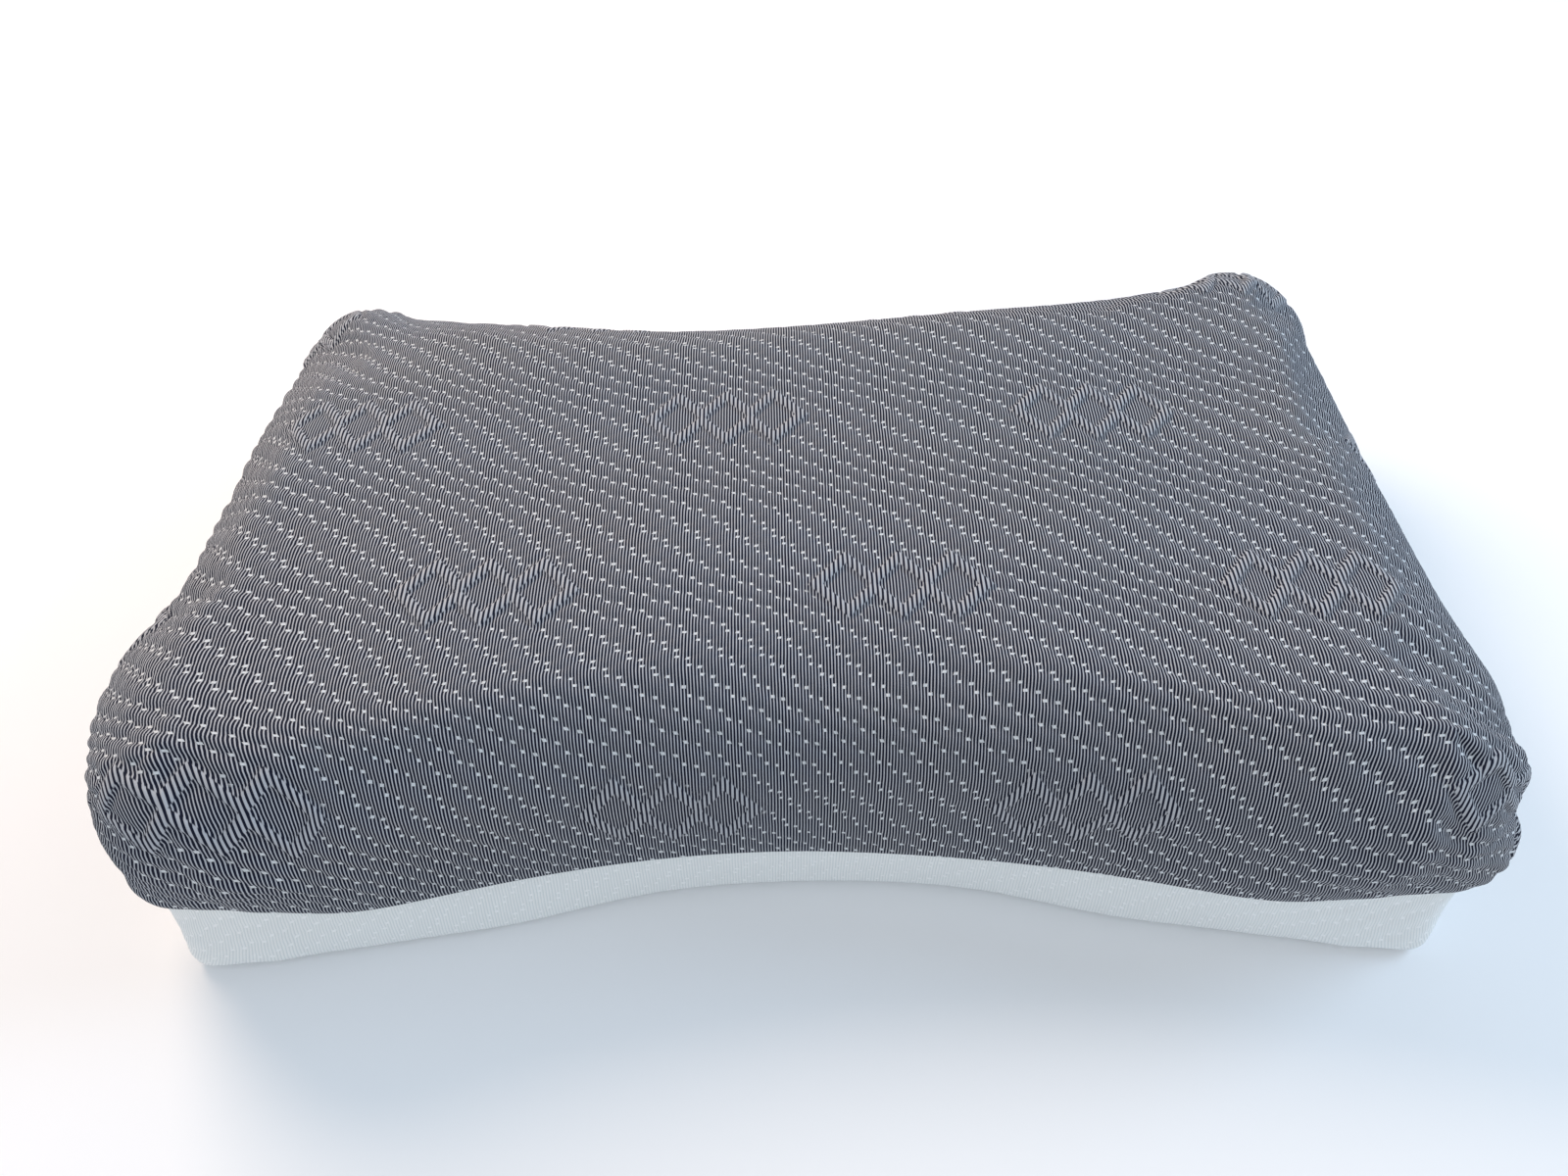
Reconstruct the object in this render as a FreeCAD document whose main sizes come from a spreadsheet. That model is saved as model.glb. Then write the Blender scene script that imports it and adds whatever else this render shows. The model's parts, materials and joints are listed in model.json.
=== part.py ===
import FreeCAD, Part
import math
import os

import Sketcher

# Contour pillow: a moulded foam core in a thin liner, inside a two-part cover that a
# zip closes along the back. Millimetres. X runs left to right, Y front to back, Z up;
# the origin is at the middle of the face that the pillow rests on.
# Both long sides curve in. The curve is an arc of a circle whose centre lies outside
# the pillow, on the Y axis, and the zip follows the back one.
# "Depth" below is measured inwards from the cover's outer face.

doc = FreeCAD.newDocument("ContourPillow")
sheet = doc.addObject("Spreadsheet::Sheet", "Sizes")

SIZES = (
    ("overall_width", 600, "left to right"),
    ("corner_depth", 430, "front to back, where the long sides' arcs meet the short sides"),
    ("overall_height", 120, "base to top"),
    ("side_sag", 62, "how far the middle of each long side curves in"),
    ("corner_radius", 45, "upright corner, in plan"),
    ("top_edge_radius", 42, "rounding of the top edge"),
    ("base_edge_radius", 16, "rounding of the base edge"),
    ("seam_height", 42, "where the top and bottom covers meet"),
    ("cover_thickness", 3, "quilted double knit"),
    ("liner_thickness", 1, "stretch jersey"),
    ("liner_seam_height", 60, "where the liner's two panels meet"),
    ("layer_gap", 0.3, "foam to liner, and liner to cover below"),
    ("seam_clearance", 0.05, "a sewn piece to the cover's inner face"),
    ("allowance_height", 8, "edge seam's allowance, up and down"),
    ("liner_thread_depth", 0.4, "liner seam's thread, through its thickness"),
    ("liner_thread_height", 2.4, "liner seam's thread, up and down"),
    ("dart_width", 1.5, "corner dart's sewn strip"),
    ("dart_turn", 60, "degrees that a dart follows the top edge's rounding"),
    ("dart_direction", 50, "degrees from X to a dart, seen from above"),
    ("zip_half_length", 190, "middle to end of the zip's chain, along the arc"),
    ("zip_window_height", 9, "slot between the covers that shows the zip"),
    ("zip_window_end", 3, "slot beyond the chain, at each end"),
    ("tape_end", 14, "tape beyond the chain, at each end"),
    ("tape_thickness", 0.6, "woven tape"),
    ("tape_height", 12, "woven tape, across"),
    ("tape_clearance", 0.1, "tape to the cover's inner face"),
    ("chain_split", 1.2, "between the two rows of teeth, where the post passes"),
    ("row_depth", 2, "a row of teeth, through its thickness"),
    ("row_height", 2, "a row of teeth, across"),
    ("stop_length", 3, "metal end stop, along the chain"),
    ("stop_lip", 0.2, "how far a stop stands out round its row"),
    ("stop_clearance", 0.3, "slider to a stop at each end of its travel"),
    ("slider_length", 11, "along the chain"),
    ("slider_height", 8, "across the chain"),
    ("slider_plate", 0.9, "thickness of each plate"),
    ("slider_flange", 0.7, "thickness of each side flange"),
    ("slider_corner", 0.5, "rounding of the plates' upright corners"),
    ("slider_clearance", 0.25, "slider to teeth and tape"),
    ("slider_room", 0.65, "slider's back plate to the liner"),
    ("post_width", 0.7, "post that parts the rows"),
    ("post_length", 2.2, "post, along the chain"),
    ("bridge_length", 6, "arch that holds the pull, along the chain"),
    ("bridge_width", 1.8, "arch, across the chain"),
    ("bridge_leg", 1.1, "thickness of the arch"),
    ("pull_length", 27, "pivot to the pull's far end"),
    ("pull_height", 7, "pull, across"),
    ("pull_thickness", 1.2, "pull, and the bar it turns on"),
    ("pull_clearance", 0.15, "bar to the arch and the plate, and arm to the arch"),
    ("pull_arm", 1, "each arm beside the arch"),
    ("pull_reach", 4.2, "pivot to the solid part of the pull"),
    ("pull_hole", 3, "hole near the pull's far end, across"),
    ("pull_lean", 4, "degrees that the pull stands off the cover at rest"),
    ("stitch_thread", 0.35, "topstitching thread"),
    ("stitch_offset", 2.5, "topstitching beyond the slot's edge"),
    ("label_width", 20, "blank care label, along the seam"),
    ("label_drop", 30, "label, down from the seam"),
    ("label_thickness", 0.6, "two folded plies"),
    ("label_gap", 10, "zip tape's end to the label, along the arc"),
)
for row, (alias, number, meaning) in enumerate(SIZES, start=1):
    sheet.set(f"A{row}", alias)
    sheet.set(f"B{row}", str(number))
    sheet.set(f"C{row}", meaning)
    sheet.setAlias(f"B{row}", alias)
doc.recompute()

# Sizes that follow from the sheet, as expressions.
ARC_RADIUS = "((Sizes.overall_width / 2)^2 + Sizes.side_sag^2) / (2 * Sizes.side_sag)"
ARC_CENTRE = f"(Sizes.corner_depth / 2 - Sizes.side_sag + {ARC_RADIUS})"
DEGREES_PER_MM = f"(180 / pi / ({ARC_RADIUS}))"
COVER_ROOM = (
    "(Sizes.tape_clearance + Sizes.tape_thickness + Sizes.slider_clearance"
    " + Sizes.slider_plate + Sizes.slider_room)"
)  # cover to liner, where the seams and the zip lie
ALLOWANCE = f"({COVER_ROOM} - Sizes.liner_thread_depth - 2 * Sizes.seam_clearance)"
LINER_INSET = f"(Sizes.cover_thickness + {COVER_ROOM})"
FOAM_INSET = f"({LINER_INSET} + Sizes.liner_thickness + Sizes.layer_gap)"
LINER_BASE = "(Sizes.cover_thickness + Sizes.layer_gap)"
FOAM_BASE = f"({LINER_BASE} + Sizes.liner_thickness + Sizes.layer_gap)"
SEWN_DEPTH = "(Sizes.cover_thickness + Sizes.seam_clearance)"
TAPE_OUTER = "(Sizes.cover_thickness + Sizes.tape_clearance)"
TAPE_INNER = f"({TAPE_OUTER} + Sizes.tape_thickness)"
ROW_OUTER = f"({TAPE_OUTER} - Sizes.row_depth)"
PLATE_INNER = f"({ROW_OUTER} - Sizes.slider_clearance)"
PLATE_OUTER = f"({PLATE_INNER} - Sizes.slider_plate)"
BACK_PLATE = f"({TAPE_INNER} + Sizes.slider_clearance)"
PULL_RADIUS = "(Sizes.pull_thickness / 2)"
PIVOT_DEPTH = f"({PLATE_OUTER} - Sizes.pull_clearance - {PULL_RADIUS})"
BRIDGE_OUTER = (
    f"({PLATE_OUTER} - Sizes.pull_thickness - 2 * Sizes.pull_clearance - Sizes.bridge_leg)"
)
SLIDER_REST = (
    "(Sizes.zip_half_length - Sizes.stop_length - Sizes.stop_clearance"
    " - Sizes.slider_length / 2)"
)
TAPE_HALF = "(Sizes.zip_half_length + Sizes.tape_end)"
LABEL_PLACE = f"({TAPE_HALF} + Sizes.label_gap + Sizes.label_width / 2)"
SPLIT = "(Sizes.chain_split / 2)"
SPARE = 50  # how far a cutting block runs past the pillow

NODES = []


def value(text):
    """The number that an expression has now."""
    found = sheet.evalExpression(text)
    return float(getattr(found, "Value", found))


def bind(thing, **expressions):
    """Ties properties to the sheet; a double underscore in a name stands for a dot."""
    for name, text in expressions.items():
        thing.setExpression(name.replace("__", "."), text)


def as_node(thing, name):
    thing.Label = name
    NODES.append(thing)
    return thing


def new_body(name):
    return doc.addObject("PartDesign::Body", name)


def new_sketch(body, name, plane):
    sketch = body.newObject("Sketcher::SketchObject", name)
    found = [f for f in body.Origin.OriginFeatures if f.Role == plane]
    sketch.AttachmentSupport = [(found[0], "")]
    sketch.MapMode = "FlatFace"
    return sketch


def place(sketch, line, end, across, up):
    """Holds one end of a line at a point of the sketch, given as two expressions."""
    for kind, text in (("DistanceX", across), ("DistanceY", up)):
        held = sketch.addConstraint(
            Sketcher.Constraint(kind, -1, 1, line, end, value(text))
        )
        sketch.setExpression(f"Constraints[{held}]", text)


def closed_lines(sketch, points):
    """A polygon whose corners are pairs of expressions."""
    corners = [FreeCAD.Vector(value(a), value(b), 0) for a, b in points]
    first = sketch.GeometryCount
    for k, corner in enumerate(corners):
        following = corners[(k + 1) % len(corners)]
        sketch.addGeometry(Part.LineSegment(corner, following), False)
    for k, (across, up) in enumerate(points):
        before = first + (k - 1) % len(points)
        sketch.addConstraint(Sketcher.Constraint("Coincident", before, 2, first + k, 1))
        place(sketch, first + k, 1, across, up)


def rectangle(sketch, left, right, low, high):
    closed_lines(sketch, ((left, low), (right, low), (right, high), (left, high)))


def pad(body, sketch, length, both_ways=True):
    feature = body.newObject("PartDesign::Pad", f"{sketch.Name}_pad")
    feature.Profile = sketch
    feature.Midplane = both_ways
    bind(feature, Length=length)
    return feature


def edges_where(shape, test):
    return [f"Edge{k}" for k, edge in enumerate(shape.Edges, start=1) if test(edge)]


def is_upright(edge):
    box = edge.BoundBox
    return box.ZLength > 1 and max(box.XLength, box.YLength) < 1e-6


def is_level_at(height):
    def test(edge):
        box = edge.BoundBox
        return box.ZLength < 1e-5 and abs(box.ZMin - height) < 1e-5

    return test


def fillet(body, base, test, radius):
    doc.recompute()
    feature = body.newObject("PartDesign::Fillet", f"{base.Name}_fillet")
    feature.Base = (base, edges_where(base.Shape, test))
    bind(feature, Radius=radius)
    return feature


def outline(sketch, inset):
    """The pillow's plan: two straight short sides and two long sides that curve in."""
    half = f"(Sizes.overall_width / 2 - {inset})"
    radius = f"({ARC_RADIUS} + {inset})"
    x, r, centre = value(half), value(radius), value(ARC_CENTRE)
    y = centre - math.sqrt(r * r - x * x)
    turn = math.asin(x / r)
    quarter = math.pi / 2
    up = FreeCAD.Vector(0, 0, 1)
    back = Part.Circle(FreeCAD.Vector(0, centre, 0), up, r)
    front = Part.Circle(FreeCAD.Vector(0, -centre, 0), up, r)
    right_low, right_high = FreeCAD.Vector(x, -y, 0), FreeCAD.Vector(x, y, 0)
    left_low, left_high = FreeCAD.Vector(-x, -y, 0), FreeCAD.Vector(-x, y, 0)
    sketch.addGeometry(Part.LineSegment(right_low, right_high), False)
    sketch.addGeometry(Part.ArcOfCircle(back, -quarter - turn, -quarter + turn), False)
    sketch.addGeometry(Part.LineSegment(left_high, left_low), False)
    sketch.addGeometry(Part.ArcOfCircle(front, quarter - turn, quarter + turn), False)
    for a, end_a, b, end_b in ((0, 2, 1, 2), (1, 1, 2, 1), (2, 2, 3, 2), (3, 1, 0, 1)):
        sketch.addConstraint(Sketcher.Constraint("Coincident", a, end_a, b, end_b))
    sketch.addConstraint(Sketcher.Constraint("Vertical", 0))
    sketch.addConstraint(Sketcher.Constraint("Vertical", 2))
    sides = (
        ("DistanceX", -1, 1, 0, 1, half),
        ("DistanceX", 2, 1, -1, 1, half),
        ("DistanceY", -1, 1, 1, 3, ARC_CENTRE),
        ("DistanceY", 3, 3, -1, 1, ARC_CENTRE),
    )
    for kind, a, end_a, b, end_b, text in sides:
        held = sketch.addConstraint(
            Sketcher.Constraint(kind, a, end_a, b, end_b, value(text))
        )
        sketch.setExpression(f"Constraints[{held}]", text)
    for arc in (1, 3):
        sketch.addConstraint(Sketcher.Constraint("PointOnObject", arc, 3, -2))
        held = sketch.addConstraint(Sketcher.Constraint("Radius", arc, r))
        sketch.setExpression(f"Constraints[{held}]", radius)


def envelope(name, inset, base):
    """A closed pillow shape, inset from the cover's outer face at the sides and the top."""
    body = new_body(name)
    sketch = new_sketch(body, f"{name}_plan", "XY_Plane")
    outline(sketch, inset)
    bind(sketch, AttachmentOffset__Base__z=base)
    height = f"Sizes.overall_height - {inset} - {base}"
    block = pad(body, sketch, height, both_ways=False)
    upright = fillet(body, block, is_upright, f"Sizes.corner_radius - {inset}")
    top = is_level_at(value(f"Sizes.overall_height - {inset}"))
    rounded = fillet(body, upright, top, f"Sizes.top_edge_radius - {inset}")
    fillet(body, rounded, is_level_at(value(base)), f"Sizes.base_edge_radius - {inset}")
    doc.recompute()
    return body


def block(name, size, corner):
    """A box, from three lengths and its lowest corner, all expressions."""
    box = doc.addObject("Part::Box", name)
    bind(box, Length=size[0], Width=size[1], Height=size[2])
    bind(box, Placement__Base__x=corner[0])
    bind(box, Placement__Base__y=corner[1])
    bind(box, Placement__Base__z=corner[2])
    return box


def level_block(name, low, high):
    """A box wider than the pillow, between two heights."""
    across = f"(Sizes.overall_width + {2 * SPARE})"
    along = f"(Sizes.corner_depth + {2 * SPARE})"
    corner = (f"-{across} / 2", f"-{along} / 2", low)
    return block(name, (across, along, f"({high}) - ({low})"), corner)


def boolean(kind, name, base, tool):
    made = doc.addObject(f"Part::{kind}", name)
    made.Base = base
    made.Tool = tool
    return made


def ring_band(name, outer, inner, low, high):
    """The part of the layer between two envelopes that lies between two heights."""
    layer = boolean("Cut", f"{name}_layer", outer, inner)
    return boolean("Common", name, layer, level_block(f"{name}_level", low, high))


def on_arc(name, depths, heights, half_length, at="0"):
    """A piece that follows the back's arc: a rectangle turned about the arc's axis.

    Depths and heights are pairs of expressions, the heights counted from the seam;
    at is the distance from the middle of the back to the piece's middle, along the arc.
    """
    body = new_body(name)
    sketch = new_sketch(body, f"{name}_section", "YZ_Plane")
    far, near = (f"-({ARC_RADIUS} + {depth})" for depth in reversed(depths))
    rectangle(sketch, far, near, *heights)
    turned = body.newObject("PartDesign::Revolution", f"{name}_turned")
    turned.Profile = sketch
    turned.ReferenceAxis = (sketch, ["V_Axis"])
    turned.Midplane = True
    bind(turned, Angle=f"2 * ({half_length}) * {DEGREES_PER_MM}")
    seat_on_arc(body, at)
    return body


def seat_on_arc(thing, at):
    """Puts a piece made about the arc's axis in place, at a distance along the arc."""
    bind(thing, Placement__Base__y=ARC_CENTRE, Placement__Base__z="Sizes.seam_height")
    angle = value(f"({at}) * {DEGREES_PER_MM}")
    axis = FreeCAD.Vector(0, 0, 1)
    thing.Placement.Rotation = FreeCAD.Rotation(axis, angle)


def zip_slot():
    """The slot that the zip shows through, taken out of both covers at the back."""
    half = "(Sizes.zip_half_length + Sizes.zip_window_end)"
    size = (f"2 * {half}", "Sizes.corner_depth", "Sizes.zip_window_height")
    low = "Sizes.seam_height - Sizes.zip_window_height / 2"
    return block("zip_slot", size, (f"-{half}", "0", low))


def covers():
    """The top cover, the bottom cover and the overlocked seam that joins them."""
    outer = envelope("cover_outside", "0", "0")
    inner = envelope("cover_inside", "Sizes.cover_thickness", "Sizes.cover_thickness")
    slot = zip_slot()
    seam = "Sizes.seam_height"
    top = ring_band("top_shell", outer, inner, seam, f"Sizes.overall_height + {SPARE}")
    as_node(boolean("Cut", "top_cover_cut", top, slot), "cover_top")
    bottom = ring_band("bottom_shell", outer, inner, f"-{SPARE}", seam)
    as_node(boolean("Cut", "bottom_cover_cut", bottom, slot), "cover_bottom")

    face = envelope("allowance_outside", SEWN_DEPTH, LINER_BASE)
    back = envelope("allowance_inside", f"({SEWN_DEPTH} + {ALLOWANCE})", LINER_BASE)
    low = "Sizes.seam_height - Sizes.allowance_height / 2"
    high = "Sizes.seam_height + Sizes.allowance_height / 2"
    band = ring_band("allowance_band", face, back, low, high)
    half = f"({TAPE_HALF} + Sizes.stop_length)"
    size = (f"2 * {half}", "Sizes.corner_depth", "2 * Sizes.allowance_height")
    corner = (f"-{half}", "0", "Sizes.seam_height - Sizes.allowance_height")
    gap = block("zip_gap_in_allowance", size, corner)
    as_node(boolean("Cut", "allowance_cut", band, gap), "edge_seam")


def liner():
    """Two thin panels sewn together round the foam."""
    outer = envelope("liner_outside", LINER_INSET, LINER_BASE)
    inner = envelope(
        "liner_inside",
        f"({LINER_INSET} + Sizes.liner_thickness)",
        f"({LINER_BASE} + Sizes.liner_thickness)",
    )
    joint = "Sizes.liner_seam_height"
    upper = ring_band("liner_upper_band", outer, inner, joint, "Sizes.overall_height")
    as_node(upper, "liner_upper")
    as_node(ring_band("liner_lower_band", outer, inner, "0", joint), "liner_lower")
    face = envelope(
        "liner_thread_outside", f"({LINER_INSET} - Sizes.liner_thread_depth)", LINER_BASE
    )
    low = f"{joint} - Sizes.liner_thread_height / 2"
    high = f"{joint} + Sizes.liner_thread_height / 2"
    as_node(ring_band("liner_thread_band", face, outer, low, high), "liner_seam")


def corner_dart(name, side, end):
    """The sewn strip inside one corner, where the flat top is taken in over the edge.

    It is drawn about the upright axis of the corner's rounding: straight up the side,
    then round the top edge.
    """
    body = new_body(name)
    sketch = new_sketch(body, f"{name}_section", "XZ_Plane")
    axis_x = value("Sizes.corner_radius - Sizes.top_edge_radius")
    axis_z = value("Sizes.overall_height - Sizes.top_edge_radius")
    foot = value("Sizes.seam_height + Sizes.allowance_height")
    outer = value(f"Sizes.top_edge_radius - {SEWN_DEPTH}")
    inner = value(f"Sizes.top_edge_radius - {SEWN_DEPTH} - {ALLOWANCE}")
    turn = math.radians(value("Sizes.dart_turn"))
    centre = FreeCAD.Vector(axis_x, axis_z, 0)
    up = FreeCAD.Vector(0, 0, 1)
    edge = FreeCAD.Vector(math.cos(turn), math.sin(turn), 0)
    corners = [
        FreeCAD.Vector(axis_x + outer, foot, 0),
        FreeCAD.Vector(axis_x + outer, axis_z, 0),
        centre + edge * outer,
        centre + edge * inner,
        FreeCAD.Vector(axis_x + inner, axis_z, 0),
        FreeCAD.Vector(axis_x + inner, foot, 0),
    ]
    sketch.addGeometry(Part.LineSegment(corners[0], corners[1]), False)
    sketch.addGeometry(Part.ArcOfCircle(Part.Circle(centre, up, outer), 0, turn), False)
    sketch.addGeometry(Part.LineSegment(corners[2], corners[3]), False)
    sketch.addGeometry(Part.ArcOfCircle(Part.Circle(centre, up, inner), 0, turn), False)
    sketch.addGeometry(Part.LineSegment(corners[4], corners[5]), False)
    sketch.addGeometry(Part.LineSegment(corners[5], corners[0]), False)
    pad(body, sketch, "Sizes.dart_width")
    reach = "(Sizes.overall_width / 2 - Sizes.corner_radius)"
    radius = f"({ARC_RADIUS} + Sizes.corner_radius)"
    along = f"({ARC_CENTRE} - sqrt({radius}^2 - {reach}^2))"
    sign_x = "" if side > 0 else "-"
    sign_y = "" if end > 0 else "-"
    bind(body, Placement__Base__x=f"{sign_x}{reach}", Placement__Base__y=f"{sign_y}{along}")
    lean = value("Sizes.dart_direction")
    angle = lean if side > 0 else 180 - lean
    body.Placement.Rotation = FreeCAD.Rotation(up, angle * end)
    as_node(body, name)


def zip_halves():
    """Tapes, rows of teeth, end stops and topstitching, above and below the split."""
    tape_top = f"({SPLIT} + Sizes.tape_height)"
    row_top = f"({SPLIT} + Sizes.row_height)"
    stop_top = f"({row_top} + Sizes.stop_lip)"
    row_depths = (ROW_OUTER, TAPE_OUTER)
    stop_depths = (f"{ROW_OUTER} - Sizes.stop_lip", TAPE_OUTER)
    row_half = "(Sizes.zip_half_length - Sizes.stop_length)"
    stop_half = "Sizes.stop_length / 2"
    stop_at = f"(Sizes.zip_half_length - {stop_half})"
    stitch_low = "(Sizes.zip_window_height / 2 + Sizes.stitch_offset)"
    stitch_high = f"({stitch_low} + Sizes.stitch_thread)"
    stitch_depths = ("-Sizes.seam_clearance - Sizes.stitch_thread", "-Sizes.seam_clearance")

    for half, sign in (("upper", ""), ("lower", "-")):

        def heights(low, high):
            ends = (f"{sign}{low}", f"{sign}{high}")
            return ends if sign == "" else ends[::-1]

        def piece(name, depths, low, high, half_length, at="0"):
            made = on_arc(f"{name}_{half}", depths, heights(low, high), half_length, at)
            as_node(made, f"{name}_{half}")

        piece("zip_tape", (TAPE_OUTER, TAPE_INNER), SPLIT, tape_top, TAPE_HALF)
        piece("zip_teeth", row_depths, SPLIT, row_top, row_half)
        piece("zip_top_stop", stop_depths, SPLIT, stop_top, stop_half, stop_at)
        piece("zip_stitching", stitch_depths, stitch_low, stitch_high, TAPE_HALF)

    bottom = on_arc(
        "zip_bottom_stop", stop_depths, (f"-{stop_top}", stop_top), stop_half, f"-{stop_at}"
    )
    as_node(bottom, "zip_bottom_stop")


def zip_slider():
    """Two plates joined by a post, with side flanges and an arch for the pull."""
    body = new_body("zip_slider")
    half_length = "Sizes.slider_length / 2"
    half_height = "(Sizes.slider_height / 2)"

    def at_depth(depth):
        return f"-({ARC_RADIUS} + {depth})"

    post = new_sketch(body, "slider_post", "XY_Plane")
    rectangle(
        post,
        f"{half_length} - Sizes.post_length",
        half_length,
        at_depth(f"{BACK_PLATE} + Sizes.slider_plate / 2"),
        at_depth(f"{PLATE_INNER} - Sizes.slider_plate / 2"),
    )
    pad(body, post, "Sizes.post_width")

    front = new_sketch(body, "slider_front", "YZ_Plane")
    lip = at_depth(f"{TAPE_OUTER} - Sizes.slider_clearance")
    inside = f"({half_height} - Sizes.slider_flange)"
    closed_lines(
        front,
        (
            (at_depth(PLATE_OUTER), f"-{half_height}"),
            (at_depth(PLATE_OUTER), half_height),
            (lip, half_height),
            (lip, inside),
            (at_depth(PLATE_INNER), inside),
            (at_depth(PLATE_INNER), f"-{inside}"),
            (lip, f"-{inside}"),
            (lip, f"-{half_height}"),
        ),
    )
    pad(body, front, "Sizes.slider_length")

    back = new_sketch(body, "slider_back", "YZ_Plane")
    deepest = at_depth(f"{BACK_PLATE} + Sizes.slider_plate")
    rectangle(back, deepest, at_depth(BACK_PLATE), f"-{half_height}", half_height)
    pad(body, back, "Sizes.slider_length")

    arch = new_sketch(body, "slider_arch", "XY_Plane")
    outside = "(Sizes.bridge_length / 2)"
    opening = f"({outside} - Sizes.bridge_leg)"
    foot = at_depth(PLATE_OUTER)
    crown = at_depth(BRIDGE_OUTER)
    under = at_depth(f"{BRIDGE_OUTER} + Sizes.bridge_leg")
    closed_lines(
        arch,
        (
            (f"-{outside}", foot),
            (f"-{opening}", foot),
            (f"-{opening}", under),
            (opening, under),
            (opening, foot),
            (outside, foot),
            (outside, crown),
            (f"-{outside}", crown),
        ),
    )
    arched = pad(body, arch, "Sizes.bridge_width")
    highest = value(crown)

    def is_crown_end(edge):
        box = edge.BoundBox
        return box.ZLength > 0.1 and box.YLength < 1e-6 and abs(box.YMin - highest) < 1e-5

    fillet(body, arched, is_crown_end, "Sizes.bridge_leg / 2")
    doc.recompute()
    plate_end, plate_side = value(half_length), value(half_height)

    def is_plate_corner(edge):
        box = edge.BoundBox
        at_end = abs(abs(box.Center.x) - plate_end) < 1e-5 and box.XLength < 1e-6
        at_side = abs(abs(box.Center.z) - plate_side) < 1e-5 and box.ZLength < 1e-6
        return at_end and at_side and box.YLength > 0.1

    fillet(body, body.Tip, is_plate_corner, "Sizes.slider_corner")
    seat_on_arc(body, SLIDER_REST)
    as_node(body, "zip_slider")


def zip_pull():
    """The pull: a bar under the slider's arch, two arms beside it and a holed tab."""
    body = new_body("zip_pull_tab")
    bar = new_sketch(body, "pull_bar", "XY_Plane")
    arms_half = "(Sizes.bridge_width / 2 + Sizes.pull_clearance + Sizes.pull_arm)"
    centre = FreeCAD.Vector(0, 0, 0)
    up = FreeCAD.Vector(0, 0, 1)
    bar.addGeometry(Part.Circle(centre, up, value(PULL_RADIUS)), False)
    bar.addConstraint(Sketcher.Constraint("Coincident", 0, 3, -1, 1))
    held = bar.addConstraint(Sketcher.Constraint("Radius", 0, value(PULL_RADIUS)))
    bar.setExpression(f"Constraints[{held}]", PULL_RADIUS)
    pad(body, bar, f"2 * {arms_half}")

    arms = new_sketch(body, "pull_plate", "XZ_Plane")
    gap = "(Sizes.bridge_width / 2 + Sizes.pull_clearance)"
    half = "(Sizes.pull_height / 2)"
    tip = "-Sizes.pull_length"
    neck = "-Sizes.pull_reach"
    shoulder = "(-Sizes.pull_reach - Sizes.pull_arm)"
    closed_lines(
        arms,
        (
            ("0", f"-{arms_half}"),
            ("0", f"-{gap}"),
            (neck, f"-{gap}"),
            (neck, gap),
            ("0", gap),
            ("0", arms_half),
            (neck, arms_half),
            (shoulder, half),
            (tip, half),
            (tip, f"-{half}"),
            (shoulder, f"-{half}"),
            (neck, f"-{arms_half}"),
        ),
    )
    plate = pad(body, arms, "Sizes.pull_thickness")
    far_end = value(tip)

    def is_tip_corner(edge):
        box = edge.BoundBox
        across = max(box.XLength, box.ZLength) < 1e-6
        return across and box.YLength > 0.1 and abs(box.XMin - far_end) < 1e-5

    rounded = fillet(body, plate, is_tip_corner, "Sizes.pull_height / 3")
    doc.recompute()
    before = rounded.Shape.Volume
    hole = new_sketch(body, "pull_hole", "XZ_Plane")
    hole_at = "(-Sizes.pull_length + Sizes.pull_hole + Sizes.pull_thickness)"
    size = "Sizes.pull_hole / 2"
    hole.addGeometry(
        Part.Circle(FreeCAD.Vector(value(hole_at), 0, 0), up, value(size)), False
    )
    place(hole, 0, 3, hole_at, "0")
    held = hole.addConstraint(Sketcher.Constraint("Radius", 0, value(size)))
    hole.setExpression(f"Constraints[{held}]", size)
    cut = body.newObject("PartDesign::Pocket", "pull_hole_cut")
    cut.Profile = hole
    cut.Midplane = True
    bind(cut, Length="2 * Sizes.pull_thickness")
    doc.recompute()
    if cut.Shape.Volume >= before:
        raise RuntimeError("the pull's hole cut nothing")

    turn = math.radians(value(f"{SLIDER_REST} * {DEGREES_PER_MM}"))
    radius = value(f"{ARC_RADIUS} + {PIVOT_DEPTH}")
    pivot = FreeCAD.Vector(
        radius * math.sin(turn),
        value(ARC_CENTRE) - radius * math.cos(turn),
        value("Sizes.seam_height"),
    )
    facing = math.degrees(turn) - value("Sizes.pull_lean")
    body.Placement = FreeCAD.Placement(pivot, FreeCAD.Rotation(up, facing))
    as_node(body, "zip_pull_tab")


def care_label():
    """A blank folded label, sewn into the seam beside the zip and hanging down."""
    depths = ("-Sizes.seam_clearance - Sizes.label_thickness", "-Sizes.seam_clearance")
    heights = ("-Sizes.label_drop", "-Sizes.seam_clearance")
    label = on_arc(
        "care_label", depths, heights, "Sizes.label_width / 2", f"-{LABEL_PLACE}"
    )
    as_node(label, "care_label")


def check_and_write():
    """Refuses a failed object or shape, then writes each node's STEP file."""
    doc.recompute()
    for thing in doc.Objects:
        if {"Invalid", "Error"} & set(thing.State):
            raise RuntimeError(f"{thing.Label} failed: {thing.State}")
    os.makedirs("parts", exist_ok=True)
    for node in NODES:
        shape = node.Shape
        if shape.isNull() or not shape.isValid() or not shape.Solids:
            raise RuntimeError(f"{node.Label} has no valid solid")
        shape.exportStep(f"parts/{node.Label}.step")
        box = shape.BoundBox
        corners = (box.XMin, box.YMin, box.ZMin, box.XMax, box.YMax, box.ZMax)
        size = " ".join(f"{number:.1f}" for number in corners)
        print(f"{node.Label}: {len(shape.Solids)} solid, {shape.Volume:.0f} mm3, {size}")


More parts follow.
